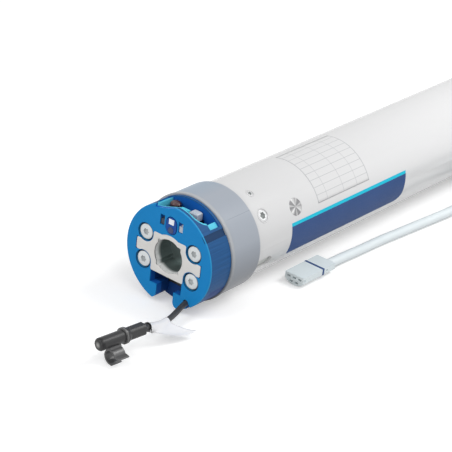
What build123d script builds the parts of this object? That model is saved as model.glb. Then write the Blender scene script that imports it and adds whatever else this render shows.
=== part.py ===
from build123d import *
import math
import os

# Tubular roller blind motor, modelled in millimetres.
# The motor axis is the Y axis. The head's face lies at Y = 0 and looks along -Y,
# +Z is up and the drive socket's axis passes through the origin.

# General fits
fit_gap = 0.1
turning_gap = 0.05
end_gap = 0.3
seat_gap = 0.2
overrun = 1.0

# Motor tube; the pieces inside it keep the share of it that they were drawn with
tube_radius = 29.0
drawn_tube_radius = 29.0
tube_scale_share = tube_radius / drawn_tube_radius
tube_wall = 1.5
tube_slot_width = 7.0
tube_slot_length = 16.0
tube_slot_angle = -20.5

# Blue head cover; its features keep the share of it that they were drawn with
head_radius = 30.5
drawn_head_radius = 30.5
head_scale_share = head_radius / drawn_head_radius
head_length = 17.2
head_edge = 0.7
rear_flange = 1.9
front_wall = 3.2
side_step_angles = (36.0, 43.7)
side_step_depth = 0.4

# Drive socket casting
socket_radius = 10.0 * head_scale_share
socket_square = 16.2 * head_scale_share
socket_corner = 0.8 * head_scale_share
socket_depth = 14.0
socket_floor = 2.0
plate_width = 23.2 * head_scale_share
plate_top = 11.2 * head_scale_share
plate_bottom = 12.5 * head_scale_share
plate_arch_radius = 12.6 * head_scale_share
plate_corner = 0.9 * head_scale_share
ear_reach = 22.6 * head_scale_share
ear_root = 12.0 * head_scale_share
ear_root_half = 2.4 * head_scale_share
ear_tip_half = 3.3 * head_scale_share
ear_depth = 4.0

# Head screws
screw_x = 17.3 * head_scale_share
screw_z = 8.45 * head_scale_share
screw_head_radius = 4.5 * head_scale_share
screw_head_height = 2.4
screw_shank_radius = 2.0 * head_scale_share
screw_length = 29.0
screw_hole_radius = 2.3 * head_scale_share
screw_star_radius = 1.9 * head_scale_share
screw_star_depth = 1.3
screw_dome = 0.5
counterbore_radius = 5.3 * head_scale_share
counterbore_depth = 3.2
counterbore_web = 0.35 * head_scale_share

# Cable notch in the foot of the head
notch_depth = 11.5
chamber_half = 11.3
chamber_floor = -19.9
throat_half = 6.2
throat_lip = 3.5
throat_lip_z = -25.4

# Window over the switch keys
window_left = -12.4 * head_scale_share
window_right = 17.6 * head_scale_share
window_floor = 15.6 * head_scale_share
ledge_right = 20.9 * head_scale_share
ledge_left = -15.0 * head_scale_share
ledge_front = 7.6
ledge_drop = 1.0
wave_x = 11.0 * head_scale_share
wave_mid_x = 15.4 * head_scale_share
wave_mid_y = 4.4
scoop_low_x = -5.5 * head_scale_share
scoop_low_z = 27.6 * head_scale_share
scoop_start_z = 25.7 * head_scale_share
scoop_end_x = 3.2 * head_scale_share
scoop_end_z = 30.7 * head_scale_share
rib_left = -2.2 * head_scale_share
rib_right = 3.3 * head_scale_share
rib_front = 9.4
rib_rear = 11.2
rib_top = 26.2 * head_scale_share

# Slots, indicator and button in the face
slot_width = 3.2 * head_scale_share
slot_bottom = 17.1 * head_scale_share
slot_top = 23.3 * head_scale_share
left_slot_x = -6.6 * head_scale_share
right_slot_x = 6.5 * head_scale_share
oval_width = 8.2 * head_scale_share
oval_height = 10.8 * head_scale_share
oval_z = 18.9 * head_scale_share
oval_depth = 1.6
oval_groove = 0.4 * head_scale_share
oval_proud = 0.2
lens_width = 3.8 * head_scale_share
lens_height = 3.4 * head_scale_share
lens_z = 21.3 * head_scale_share
lens_proud = 0.1
button_radius = 1.9 * head_scale_share
button_z = 16.3 * head_scale_share
button_bore = 2.0 * head_scale_share
button_stem_radius = 1.05 * head_scale_share
button_stem_bore = 1.25 * head_scale_share
button_travel = 0.9
button_proud = 0.35
button_head_end = 1.5
button_bore_end = 2.6
button_stem_end = 5.6

# Key board behind the face
board_front = 7.4
board_thick = 1.6
board_half = 4.3 * head_scale_share
board_top = 24.4 * head_scale_share
board_seat = 1.0
tact_size = 3.0 * head_scale_share
tact_height = 0.8
lamp_size = 1.6 * head_scale_share

# Switch keys in the window
key_travel = 2.2
key_y = 11.6
key_stem = 3.0 * head_scale_share
key_stem_low = 13.4 * head_scale_share
key_guide_low = 13.1 * head_scale_share
key_guide_gap = 0.15
key_arm_width = 2.6 * head_scale_share
key_arm_low = 17.3 * head_scale_share
key_arm_height = 3.4 * head_scale_share
key_arm_front = 0.6
key_cap_low = 21.8 * head_scale_share
radio_knob_radius = 3.1 * head_scale_share
radio_knob_top = 27.0 * head_scale_share
radio_knob_x = -7.6 * head_scale_share
direction_cap_width = 5.6 * head_scale_share
direction_cap_depth = 5.0
direction_cap_top = 26.8 * head_scale_share
direction_cap_x = 6.9 * head_scale_share
key_edge = 0.8

# Aerial lead slot in the head
lead_slot_angle = -55.5
lead_slot_width = 3.6
lead_orbit = 27.0 * head_scale_share
lead_slot_inner = lead_orbit - lead_slot_width / 2
lead_slot_depth = 9.0

# Neck behind the head: bearing for the drive ring and spigot in the tube
neck_radius = 28.1
neck_inner = 24.6
bulkhead = 3.2
spigot_length = 20.0
spigot_wall = 2.8
boss_radius = 4.2 * head_scale_share
boss_length = 12.0
sensor_boss_radius = 3.2
sensor_post_radius = 1.5

# Plug socket
receptacle_half = 8.3
receptacle_top = -12.7
receptacle_bottom = -21.9
receptacle_rear = 33.0
receptacle_floor = 4.0
plug_gap = 0.3
pin_width = 1.8
pin_thick = 0.7
pin_reach = 8.0
pin_tail = 3.0
pin_pitch = 3.9
pin_row_high = 1.9
pin_row_low = 4.6

# Drive ring
ring_radius = 31.1
ring_lip_radius = 31.5
ring_lip_length = 2.2
ring_length = 25.0
ring_chamfer = 0.4
ring_gear_start = 8.2
ring_gear_length = 7.0

# Speed sensor pinion
sensor_module = 0.8
ring_teeth = 72
sensor_teeth = 12
sensor_addendum = 0.6
sensor_dedendum = 0.9
sensor_play = 0.08
sensor_width = 6.6
sensor_magnet_radius = 3.6
sensor_magnet_length = 1.8
sensor_pocket_radius = 6.3

# Tube screws
big_screw_angle = 38.2
big_screw_y = 9.4
big_screw_radius = 3.8
small_screw_angle = 67.5
small_screw_y = 10.7
small_screw_radius = 2.0
small_pin_radius = 1.1
big_pin_radius = 1.9
screw_sink = 0.05
end_screw_angles = (45.0, 135.0, 225.0, 315.0)

# Inner tray, control board and capacitor
tray_wall = 1.8
tray_split = -6.1 * tube_scale_share
tray_length = 186.0
tray_end_wall = 2.0
capacitor_length = 84.0
capacitor_post_length = 5.0
board_capacitor_gap = 8.7
control_board_room = tray_length - 2 * tray_end_wall - end_gap - capacitor_length - capacitor_post_length
control_board_length = control_board_room - board_capacitor_gap
drawn_board_length = 84.0
board_scale_share = control_board_length / drawn_board_length
control_board_thick = 1.6
control_board_edge = 0.6
relay_length = 19.0 * board_scale_share
relay_width = 15.5 * tube_scale_share
relay_height = 15.0 * tube_scale_share
transformer_size = 21.0 * tube_scale_share
transformer_height = 18.0 * tube_scale_share
transformer_length = 21.0 * board_scale_share
transformer_core_length = 13.0 * tube_scale_share
smoothing_radius = 5.0 * board_scale_share
smoothing_height = 16.0 * tube_scale_share
terminal_length = 12.0 * board_scale_share
terminal_width = 22.0 * tube_scale_share
terminal_height = 10.0 * tube_scale_share
capacitor_radius = 17.5 * tube_scale_share
capacitor_lid = 1.2
capacitor_lid_radius = 15.5 * tube_scale_share
capacitor_post_radius = 1.6 * tube_scale_share
capacitor_post_spacing = 8.0 * tube_scale_share
cradle_width = 8.0
cradle_inset = 10.0
wire_radius = 0.9 * tube_scale_share
wire_spacing = 2.4 * tube_scale_share
wire_orbit = 24.0 * tube_scale_share

# Electric motor
shield_rim = 14.0
shield_plate = 3.5
shield_hub_radius = 10.0 * tube_scale_share
shield_hub_length = 12.0
shield_rim_inner = 25.8 * tube_scale_share
bush_radius = 7.0 * tube_scale_share
bush_length = 10.0
shaft_radius = 4.0 * tube_scale_share
stack_length = 130.0
stack_bore = 16.4 * tube_scale_share
slot_count = 12
slot_depth = 6.4 * tube_scale_share
slot_outer_half = 3.6 * tube_scale_share
slot_inner_half = 2.2 * tube_scale_share
slot_mouth_half = 0.9 * tube_scale_share
slot_mouth_depth = 1.0 * tube_scale_share
winding_overhang = 14.0
winding_gap = 2.0
winding_inset = 0.2 * tube_scale_share
rotor_radius = 16.0 * tube_scale_share
rotor_end_ring = 6.0
rotor_end_inner = 9.5 * tube_scale_share

# Brake
magnet_length = 24.0
magnet_radius = 25.0 * tube_scale_share
magnet_bore = 7.0 * tube_scale_share
coil_inner = 13.0 * tube_scale_share
coil_outer = 21.0 * tube_scale_share
coil_depth = 15.0
spring_radius = 12.0 * tube_scale_share
spring_bore = 7.6 * tube_scale_share
spring_height = 3.0
spring_sheet = 1.0
armature_radius = 22.0 * tube_scale_share
armature_thick = 4.0
armature_lift = 0.4
armature_air = 0.7
guide_pin_radius = 1.6 * tube_scale_share
guide_pin_orbit = 23.2 * tube_scale_share
brake_disc_radius = 18.0 * tube_scale_share
brake_disc_thick = 3.0
brake_hub_radius = 6.4 * tube_scale_share
brake_play = 0.1

# Planetary gearbox, three stages with one ring gear
gear_module = 0.8 * tube_scale_share
sun_teeth = 12
planet_teeth = 21
ring_gear_teeth = 54
addendum = 0.7 * tube_scale_share
ring_addendum = 0.55 * tube_scale_share
dedendum = 0.95 * tube_scale_share
tooth_play = 0.08
planets_per_stage = 3
stage_widths = (12.0, 18.0, 28.0)
carrier_thicknesses = (4.0, 5.0, 8.0)
planet_pin_radii = [radius * tube_scale_share for radius in (2.2, 2.6, 3.2)]
carrier_radius = 20.4 * tube_scale_share
gear_flange_thick = 6.0
gear_flange_bore = 5.0 * tube_scale_share

# Output end
end_cap_spigot = 16.5
end_cap_flange = 4.0
end_cap_hub_radius = 15.0 * tube_scale_share
end_cap_hub_length = 7.0
output_radius = 9.0 * tube_scale_share
output_journal_radius = 9.6 * tube_scale_share
output_shoulder = 0.6
output_bush_radius = 12.0 * tube_scale_share
output_reach = 30.0
output_flat = 0.54 * tube_scale_share
output_collar_radius = 13.0 * tube_scale_share
output_collar = 1.6
groove_depth = 0.8
groove_width = 1.3
groove_from_end = 4.0

# Floor under the object and the pieces that lie on it
floor_z = -ring_lip_radius

# Aerial
aerial_rear = (22.6, -41.6)
aerial_front = (18.9, -73.4)
aerial_axis_z = -19.0
aerial_front_radius = 3.65
aerial_front_length = 15.5
aerial_dome = 1.6
aerial_collar_radius = 4.65
aerial_collar = 1.6
aerial_cone = 2.6
aerial_body_radius = 3.3
aerial_body_chamfer = 2.2
aerial_tail_radius = 2.1
aerial_clip_offset = 5.0
clip_c_radius = 4.4
clip_c_wall = 0.9
clip_c_length = 7.4
clip_c_x = 2.9
clip_c_z = -8.0
clip_mouth_angle = -27.7
clip_mouth_half = 52.0
clip_lip_length = 3.0
clip_lip_wall = 0.9
clip_lip_flare = 22.0
saddle_width = 4.0

# Aerial lead and its tag
lead_radius = 1.65
lead_points = [
    (15.3 * head_scale_share, 5.0, -22.24 * head_scale_share),
    (15.3 * head_scale_share, 1.0, -22.24 * head_scale_share),
    (15.9 * head_scale_share, -4.4, -23.4 * head_scale_share),
    (17.1, -10.4, -24.6),
    (18.6, -17.4, -25.0),
    (20.1, -25.2, -24.0),
    (21.5, -33.2, -21.6),
    (22.6, -41.9, -18.95),
]
tag_wrap_share = 0.54
tag_wrap_end_share = 0.815
tag_wrap_gap = 0.4
tag_thick = 0.35
tag_tip = (34.4, -12.0, -26.8)
tag_low = (30.3, -22.4, -24.6)

# Connecting cable with its flat plug
plug_x = 32.1
plug_front_y = 77.5
plug_width = 13.5
plug_height = 6.8
plug_side = 3.8
plug_length = 31.0
plug_band_share = 0.585
plug_band_width = 1.6
plug_band_proud = 0.12
plug_corner = 0.7
plug_rear_step = 0.35
contact_depth = 5.0
contact_width = 2.2
contact_height = 1.1
latch_radius = 0.7
cable_radius = 3.0
cable_points = [
    (33.3, 108.5, -28.1),
    (33.3, 120.0, -28.1),
    (34.3, 139.0, -28.5),
    (34.8, 158.0, -28.45),
    (36.4, 177.0, -28.5),
    (37.9, 197.0, -28.45),
    (39.7, 217.0, -28.4),
    (41.3, 236.0, -27.8),
    (38.0, 258.0, -27.4),
    (31.5, 276.0, -27.4),
    (28.5, 292.0, -27.4),
    (28.5, 306.0, -27.4),
]

# Put-away coil of the cable
coil_start_x = 28.5
coil_start_y = 312.0
coil_lift = 1.1
coil_inner_radius = 25.0
coil_pitch = 6.5
coil_half_turns = 8
tie_width = 10.0
tie_wall = 0.7
tie_gap = 0.3
core_radius = 1.1
core_length = 24.0
ferrule_radius = 0.8
ferrule_length = 8.0
core_spread = 1.3
tail_points = [
    (0.0, -11.0, 0.0),
    (0.0, -25.0, -3.6),
    (0.0, -39.0, -7.3),
    (-2.0, -53.0, -7.55),
    (-5.0, -66.0, -7.55),
]

# Stations along the motor axis
tube_inner = tube_radius - tube_wall
seat_radius = tube_inner - fit_gap
spigot_inner = seat_radius - spigot_wall
ring_start = head_length + seat_gap
ring_end = ring_start + ring_length
tube_start = ring_end + seat_gap
spigot_end = tube_start + spigot_length
bulkhead_end = head_length + bulkhead
tray_start = spigot_end + end_gap
tray_end = tray_start + tray_length
board_start = tray_start + tray_end_wall + end_gap
board_end = board_start + control_board_length
capacitor_start = tray_end - tray_end_wall - capacitor_post_length - capacitor_length
front_shield_start = tray_end + end_gap
stack_start = front_shield_start + shield_rim + winding_overhang + winding_gap
stack_end = stack_start + stack_length
rear_shield_end = stack_end + winding_gap + winding_overhang + shield_rim
magnet_start = rear_shield_end + seat_gap
magnet_end = magnet_start + magnet_length
armature_start = magnet_end + armature_air
armature_end = armature_start + armature_thick
disc_start = armature_end + brake_play
disc_end = disc_start + brake_disc_thick
flange_start = disc_end + brake_play
housing_start = flange_start + gear_flange_thick
sun_radius = gear_module * sun_teeth / 2
planet_radius = gear_module * planet_teeth / 2
centre_distance = sun_radius + planet_radius


def stage_stations():
    """Start of the planets and of the carrier plate of each stage."""
    stations = []
    y = housing_start
    for width, plate in zip(stage_widths, carrier_thicknesses):
        planets = y + end_gap
        carrier = planets + width + end_gap
        stations.append((planets, carrier))
        y = carrier + plate
    return stations, y


stages, gear_end = stage_stations()
cap_start = gear_end + output_collar + end_gap
cap_flange_start = cap_start + end_cap_spigot
cap_flange_end = cap_flange_start + end_cap_flange
hub_end = cap_flange_end + end_cap_hub_length
shaft_end = hub_end + output_reach
tube_end = cap_flange_start
sensor_start = ring_start + ring_gear_start + seat_gap
sensor_end = sensor_start + sensor_width
sensor_orbit = sensor_module * (ring_teeth - sensor_teeth) / 2


def across(y):
    """Plane square to the motor axis, drawn in X and Z with Z upwards."""
    return Plane(origin=(0, y, 0), x_dir=(1, 0, 0), z_dir=(0, -1, 0))


def barrel(start, end, outline):
    """Outline in X and Z, carried along the motor axis from start to end."""
    return extrude(across(start) * outline, -(end - start))


def turned(outline):
    """Solid of revolution about the motor axis from (radius, y) points."""
    return revolve(make_face(Polyline(*outline, close=True)), Axis.Y)


def ring_outline(outer, inner):
    """Flat ring between two radii."""
    return Circle(outer) - Circle(inner)


def block(x0, x1, y0, y1, z0, z1):
    """Box between two corners."""
    corner = Pos((x0 + x1) / 2, (y0 + y1) / 2, (z0 + z1) / 2)
    return corner * Box(x1 - x0, y1 - y0, z1 - z0)


def polar(radius, angle):
    """Point in X and Z at a radius and an angle in degrees."""
    turn = math.radians(angle)
    return radius * math.cos(turn), radius * math.sin(turn)


def mirrored_pairs(x, z):
    """The four places that share an X and a Z size."""
    return [(-x, z), (-x, -z), (x, z), (x, -z)]


def flank_angle(teeth, module, radius, play):
    """Half of a tooth's angle at a radius, for a 20 degree flank."""
    pitch = module * teeth / 2
    pressure = math.radians(20)
    base = pitch * math.cos(pressure)
    here = math.acos(base / max(radius, base))
    roll = (math.tan(pressure) - pressure) - (math.tan(here) - here)
    return math.pi / (2 * teeth) - play / (2 * pitch) + roll


def gear_outline(teeth, module, low, high, play):
    """Closed toothed outline between two radii, one tooth on the X axis."""
    low_half = flank_angle(teeth, module, low, play)
    high_half = flank_angle(teeth, module, high, play)
    points = []
    for tooth in range(teeth):
        middle = 2 * math.pi * tooth / teeth
        for radius, turn in (
            (low, -low_half), (high, -high_half), (high, high_half), (low, low_half)
        ):
            points.append((radius * math.cos(middle + turn), radius * math.sin(middle + turn)))
    return make_face(Polyline(*points, close=True))


def outer_gear(teeth, module, tip, root, play):
    """Outline of a gear with outside teeth."""
    pitch = module * teeth / 2
    return gear_outline(teeth, module, pitch - root, pitch + tip, play)


def inner_gear(teeth, module, tip, root, play):
    """Outline of the space inside a ring gear."""
    pitch = module * teeth / 2
    return gear_outline(teeth, module, pitch - tip, pitch + root, -play)


def radial_cutter(y, angle, radius, inner, outer):
    """Round cutter that points outwards from the motor axis."""
    x, z = polar(1, angle)
    place = Plane(origin=(inner * x, y, inner * z), z_dir=(x, 0, z))
    return extrude(place * Circle(radius), outer - inner)


def plate_outline(grow):
    """Face of the socket casting: square with an arched top, two ears, screw hollows."""
    height = plate_top + plate_bottom
    middle = Pos(0, (plate_top - plate_bottom) / 2)
    outline = middle * RectangleRounded(plate_width + 2 * grow, height + 2 * grow, plate_corner)
    outline += Circle(plate_arch_radius + grow)
    root = ear_root_half + grow
    tip = ear_tip_half + grow
    reach = ear_reach + grow
    for side in (-1, 1):
        outline += make_face(
            Polyline(
                (0, -root), (side * ear_root, -root), (side * reach, -tip),
                (side * reach, tip), (side * ear_root, root), (0, root), close=True
            )
        )
    for x, z in mirrored_pairs(screw_x, screw_z):
        outline -= Pos(x, z) * Circle(counterbore_radius + counterbore_web - grow)
    return outline


def sleeve_outline(grow):
    """Square body of the socket casting behind its face."""
    height = plate_top + plate_bottom
    middle = Pos(0, (plate_top - plate_bottom) / 2)
    return middle * RectangleRounded(plate_width + 2 * grow, height + 2 * grow, plate_corner)


def socket_outline():
    """Round socket with the four corners of a square."""
    return Circle(socket_radius) + RectangleRounded(socket_square, socket_square, socket_corner)


def throat_outline():
    """Way out for the cable at the foot of the head, with rounded lips."""
    low = -head_radius - overrun
    outline = Pos(0, (chamber_floor + low) / 2) * Rectangle(2 * throat_half, chamber_floor - low)
    for side in (-1, 1):
        lip = Pos(side * (throat_half + throat_lip / 2), (throat_lip_z + low) / 2)
        flare = lip * Rectangle(throat_lip, throat_lip_z - low)
        outline += flare - Pos(side * (throat_half + throat_lip), throat_lip_z) * Circle(throat_lip)
    return outline


def window_cut():
    """Cavity for the switch keys, open at the top, with its waved front edge."""
    rear = head_length - rear_flange
    top = head_radius + overrun
    outline = make_face(
        Polyline((window_left, front_wall), (window_left, rear), (window_right, rear),
                 (window_right, ledge_front))
        + ThreePointArc((window_right, ledge_front), (wave_mid_x, wave_mid_y), (wave_x, front_wall))
        + Line((wave_x, front_wall), (window_left, front_wall))
    )
    cavity = Pos(0, 0, window_floor) * extrude(outline, top - window_floor)
    shell = barrel(0, head_length, ring_outline(head_radius + overrun, head_radius - ledge_drop))
    low = head_radius / 2
    ledges = block(window_right, ledge_right, ledge_front, rear, low, top)
    ledges += block(ledge_left, window_left, front_wall, rear, low, top)
    scoop_face = make_face(
        ThreePointArc((window_left, scoop_start_z), (scoop_low_x, scoop_low_z), (scoop_end_x, scoop_end_z))
        + Polyline((scoop_end_x, scoop_end_z), (scoop_end_x, top), (window_left, top),
                   (window_left, scoop_start_z))
    )
    scoop = barrel(-overrun, front_wall + overrun, scoop_face)
    return cavity + (ledges & shell) + scoop


def lead_slot(width, inner, depth):
    """Slot for the aerial lead, from a round end out through the rim."""
    reach = head_radius + overrun
    middle = inner + width / 2
    bar = Pos((middle + reach) / 2, 0) * Rectangle(reach - middle, width)
    outline = Rot(0, 0, lead_slot_angle) * (bar + Pos(middle, 0) * Circle(width / 2))
    return barrel(-overrun, depth, outline)


def side_steps():
    """Shallow flat groove along the side of the head, right of the window."""
    first, second = side_step_angles
    middle = (first + second) / 2
    width = 2 * head_radius * math.sin(math.radians((second - first) / 2))
    inner = head_radius * math.cos(math.radians((second - first) / 2)) - side_step_depth
    outline = Rot(0, 0, middle) * (Pos(inner + overrun, 0) * Rectangle(2 * overrun, width))
    return barrel(head_edge, head_length + overrun, outline)


def make_head_cover():
    """Blue moulding that faces the bracket."""
    body = barrel(0, head_length, Circle(head_radius))
    body = fillet(body.edges().group_by(Axis.Y)[0], head_edge)
    body -= barrel(-overrun, ear_depth + fit_gap, plate_outline(fit_gap))
    body -= barrel(-overrun, socket_depth + socket_floor + fit_gap, sleeve_outline(fit_gap))
    for x, z in mirrored_pairs(screw_x, screw_z):
        body -= barrel(-overrun, counterbore_depth, Pos(x, z) * Circle(counterbore_radius))
        body -= barrel(-overrun, head_length + overrun, Pos(x, z) * Circle(screw_hole_radius))
    chamber_top = -plate_bottom
    chamber = Pos(0, (chamber_top + chamber_floor) / 2)
    body -= barrel(-overrun, notch_depth, chamber * Rectangle(2 * chamber_half, chamber_top - chamber_floor))
    body -= barrel(-overrun, notch_depth, throat_outline())
    passage = Pos(0, (receptacle_top + receptacle_bottom) / 2)
    passage *= Rectangle(
        2 * (receptacle_half + fit_gap), receptacle_top - receptacle_bottom + 2 * fit_gap
    )
    body -= barrel(notch_depth - overrun, head_length + overrun, passage)
    body -= window_cut()
    body += block(rib_left, rib_right, rib_front, rib_rear, window_floor - overrun, rib_top)
    body -= block(
        -board_half - fit_gap, board_half + fit_gap, board_front - fit_gap,
        board_front + board_thick + fit_gap, window_floor - board_seat, window_floor + overrun
    )
    for x in (left_slot_x, right_slot_x):
        body -= block(
            x - slot_width / 2, x + slot_width / 2, -overrun, front_wall + overrun, slot_bottom, slot_top
        )
    for x in (left_slot_x, right_slot_x):
        half = key_stem / 2 + key_guide_gap
        body -= block(x - half, x + half, key_y - half, key_y + half, key_guide_low, window_floor + overrun)
    body -= barrel(-overrun, oval_depth, Pos(0, oval_z) * SlotOverall(oval_height, oval_width, 90))
    button = Pos(0, button_z)
    body -= barrel(-overrun, button_bore_end, button * Circle(button_bore))
    body -= barrel(-overrun, board_front - fit_gap, button * Circle(button_stem_bore))
    lens = Pos(0, lens_z)
    body -= barrel(-overrun, front_wall + overrun, lens * Rectangle(lens_width, lens_height))
    body -= lead_slot(lead_slot_width, lead_slot_inner, lead_slot_depth)
    body -= side_steps()
    return body


def make_socket_block():
    """Cast socket that takes the bracket's drive, with its two ears."""
    body = barrel(0, ear_depth, plate_outline(0))
    body += barrel(0, socket_depth + socket_floor, sleeve_outline(0))
    return body - barrel(-overrun, socket_depth, socket_outline())


def head_screw():
    """Domed screw with a star recess, head towards -Y."""
    top = counterbore_depth - screw_head_height
    outline = make_face(
        ThreePointArc(
            (0, top - screw_dome), (screw_head_radius / 2, top - screw_dome * 0.78), (screw_head_radius, top)
        )
        + Polyline(
            (screw_head_radius, top), (screw_head_radius, counterbore_depth),
            (screw_shank_radius, counterbore_depth), (screw_shank_radius, screw_length),
            (0, screw_length), (0, top - screw_dome)
        )
    )
    screw = revolve(outline, Axis.Y)
    star = RegularPolygon(screw_star_radius, 3) + Rot(0, 0, 180) * RegularPolygon(screw_star_radius, 3)
    return screw - barrel(top - overrun, top - screw_dome + screw_star_depth, star)


def make_head_screws():
    """The four screws that hold the cover to the neck."""
    screw = head_screw()
    return [Pos(x, 0, z) * screw for x, z in mirrored_pairs(screw_x, screw_z)]


def make_head_neck():
    """Neck that carries the drive ring and plugs into the motor tube."""
    body = barrel(head_length, bulkhead_end, Circle(neck_radius))
    body += barrel(bulkhead_end, tube_start, ring_outline(neck_radius, neck_inner))
    body += barrel(tube_start, spigot_end, ring_outline(seat_radius, spigot_inner))
    for x, z in mirrored_pairs(screw_x, screw_z):
        body += barrel(bulkhead_end, bulkhead_end + boss_length, Pos(x, z) * Circle(boss_radius))
    sensor = Pos(-sensor_orbit, 0)
    body += barrel(bulkhead_end, sensor_start - seat_gap, sensor * Circle(sensor_boss_radius))
    body -= barrel(sensor_start - seat_gap, sensor_end + sensor_magnet_length + overrun,
                   sensor * Circle(sensor_pocket_radius))
    body += barrel(bulkhead_end, sensor_end + sensor_magnet_length + end_gap,
                   sensor * Circle(sensor_post_radius))
    for x, z in mirrored_pairs(screw_x, screw_z):
        body -= barrel(head_length - overrun, screw_length, Pos(x, z) * Circle(screw_shank_radius))
    passage = Pos(0, (receptacle_top + receptacle_bottom) / 2)
    passage *= Rectangle(
        2 * (receptacle_half + fit_gap), receptacle_top - receptacle_bottom + 2 * fit_gap
    )
    body -= barrel(head_length - overrun, bulkhead_end + overrun, passage)
    for y, angle, radius in front_screws():
        body -= radial_cutter(y, angle, radius, spigot_inner - overrun, seat_radius + overrun)
    return body


def front_screws():
    """Place and shank radius of the screws through the front of the tube."""
    places = []
    for turn in (0, 180):
        places.append((tube_start + big_screw_y, big_screw_angle + turn, big_pin_radius))
        places.append((tube_start + small_screw_y, small_screw_angle + turn, small_pin_radius))
    return places


def make_indicator_insert():
    """Oval insert that frames the status window and the set button."""
    groove = 2 * oval_groove
    oval = SlotOverall(oval_height - groove, oval_width - groove, 90)
    body = barrel(-oval_proud, oval_depth, Pos(0, oval_z) * oval)
    body -= barrel(-overrun, oval_depth + overrun, Pos(0, button_z) * Circle(button_bore))
    lens = Pos(0, lens_z) * Rectangle(lens_width, lens_height)
    return body - barrel(-overrun, oval_depth + overrun, lens)


def make_status_window():
    """Clear window with its light guide to the lamp."""
    front = -oval_proud - lens_proud
    grow = 2 * fit_gap
    face = Pos(0, lens_z) * Rectangle(lens_width - grow, lens_height - grow)
    return barrel(front, front_wall + overrun, face)


def make_set_button():
    """Round button with its stem to the switch on the key board."""
    body = barrel(-button_proud, button_head_end, Pos(0, button_z) * Circle(button_radius))
    body = fillet(body.edges().group_by(Axis.Y)[0], button_proud / 2)
    return body + barrel(button_head_end, button_stem_end, Pos(0, button_z) * Circle(button_stem_radius))


def make_key_board():
    """Small upright board with the button's switch and the status lamp."""
    board = block(
        -board_half, board_half, board_front, board_front + board_thick,
        window_floor - board_seat + fit_gap, board_top
    )
    tact_z = max(button_z, window_floor + tact_size / 2 + fit_gap)
    switch = block(
        -tact_size / 2, tact_size / 2, board_front - tact_height, board_front,
        tact_z - tact_size / 2, tact_z + tact_size / 2
    )
    lamp = block(
        -lamp_size / 2, lamp_size / 2, front_wall + 2 * overrun, board_front,
        lens_z - lamp_size / 2, lens_z + lamp_size / 2
    )
    return [board, switch, lamp]


def key_frame(x):
    """Stem and arm that every switch key has."""
    half = key_stem / 2
    stem = block(x - half, x + half, key_y - half, key_y + half, key_stem_low, key_cap_low)
    arm_half = key_arm_width / 2
    arm = block(
        x - arm_half, x + arm_half, key_arm_front, key_y, key_arm_low, key_arm_low + key_arm_height
    )
    return stem + arm


def make_radio_switch():
    """Round key of the radio switch."""
    outline = make_face(
        Polyline(
            (0, key_cap_low), (radio_knob_radius, key_cap_low),
            (radio_knob_radius, radio_knob_top - key_edge),
            (radio_knob_radius - key_edge, radio_knob_top), (0, radio_knob_top), close=True
        )
    )
    knob = revolve(Plane.XZ * outline, Axis.Z)
    return key_frame(left_slot_x) + Pos(radio_knob_x, key_y, 0) * knob


def make_direction_switch():
    """Square key of the turning direction switch."""
    half = direction_cap_width / 2
    deep = direction_cap_depth / 2
    cap = block(
        direction_cap_x - half, direction_cap_x + half, key_y - deep, key_y + deep,
        key_cap_low, direction_cap_top
    )
    cap = chamfer(cap.edges().group_by(Axis.Z)[-1], key_edge)
    return key_frame(right_slot_x) + cap


def plug_outline(grow):
    """Flat top, short sides and bowed underside, hung from the top middle."""
    half = plug_width / 2 + grow
    top = grow
    return make_face(
        Polyline((-half, -plug_side), (-half, top), (half, top), (half, -plug_side))
        + ThreePointArc((half, -plug_side), (0, -plug_height - grow), (-half, -plug_side))
    )


def receptacle_plug_top():
    """Height of the top of a plug that is pushed home."""
    wall = (receptacle_top - receptacle_bottom - plug_height - 2 * plug_gap) / 2
    return receptacle_top - wall / 2 - plug_gap


def make_plug_socket():
    """Moulded receptacle behind the notch."""
    middle = (receptacle_top + receptacle_bottom) / 2
    outline = Pos(0, middle) * Rectangle(2 * receptacle_half, receptacle_top - receptacle_bottom)
    start = notch_depth + seat_gap
    body = barrel(start, receptacle_rear, outline)
    body -= barrel(
        start - overrun, receptacle_rear - receptacle_floor,
        Pos(0, receptacle_plug_top()) * plug_outline(plug_gap)
    )
    for x, z in contact_places():
        body -= barrel(
            receptacle_rear - receptacle_floor - overrun, receptacle_rear + overrun,
            Pos(x, receptacle_plug_top() + z) * Rectangle(pin_width, pin_thick)
        )
    return body


def contact_places():
    """Three contacts in the upper row and two in the lower, from the plug's top."""
    upper = [(step * pin_pitch, -pin_row_high) for step in (-1, 0, 1)]
    lower = [(step * pin_pitch / 2, -pin_row_low) for step in (-1, 1)]
    return upper + lower


def make_socket_pins():
    """Five blades of the receptacle."""
    base = receptacle_rear - receptacle_floor
    top = receptacle_plug_top()
    return [
        barrel(base - pin_reach, receptacle_rear + pin_tail, Pos(x, top + z) * Rectangle(pin_width, pin_thick))
        for x, z in contact_places()
    ]


def make_drive_ring():
    """Ring that the roller tube turns, with a band of inner teeth."""
    bore = sensor_module * ring_teeth / 2 - sensor_addendum
    body = turned(
        [
            (bore, ring_start), (ring_lip_radius - ring_chamfer, ring_start),
            (ring_lip_radius, ring_start + ring_chamfer), (ring_lip_radius, ring_start + ring_lip_length),
            (ring_radius, ring_start + ring_lip_length), (ring_radius, ring_end - ring_chamfer),
            (ring_radius - ring_chamfer, ring_end), (bore, ring_end),
        ]
    )
    start = ring_start + ring_gear_start
    teeth = inner_gear(ring_teeth, sensor_module, sensor_addendum, sensor_dedendum, sensor_play)
    return body - barrel(start, start + ring_gear_length, teeth)


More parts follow.
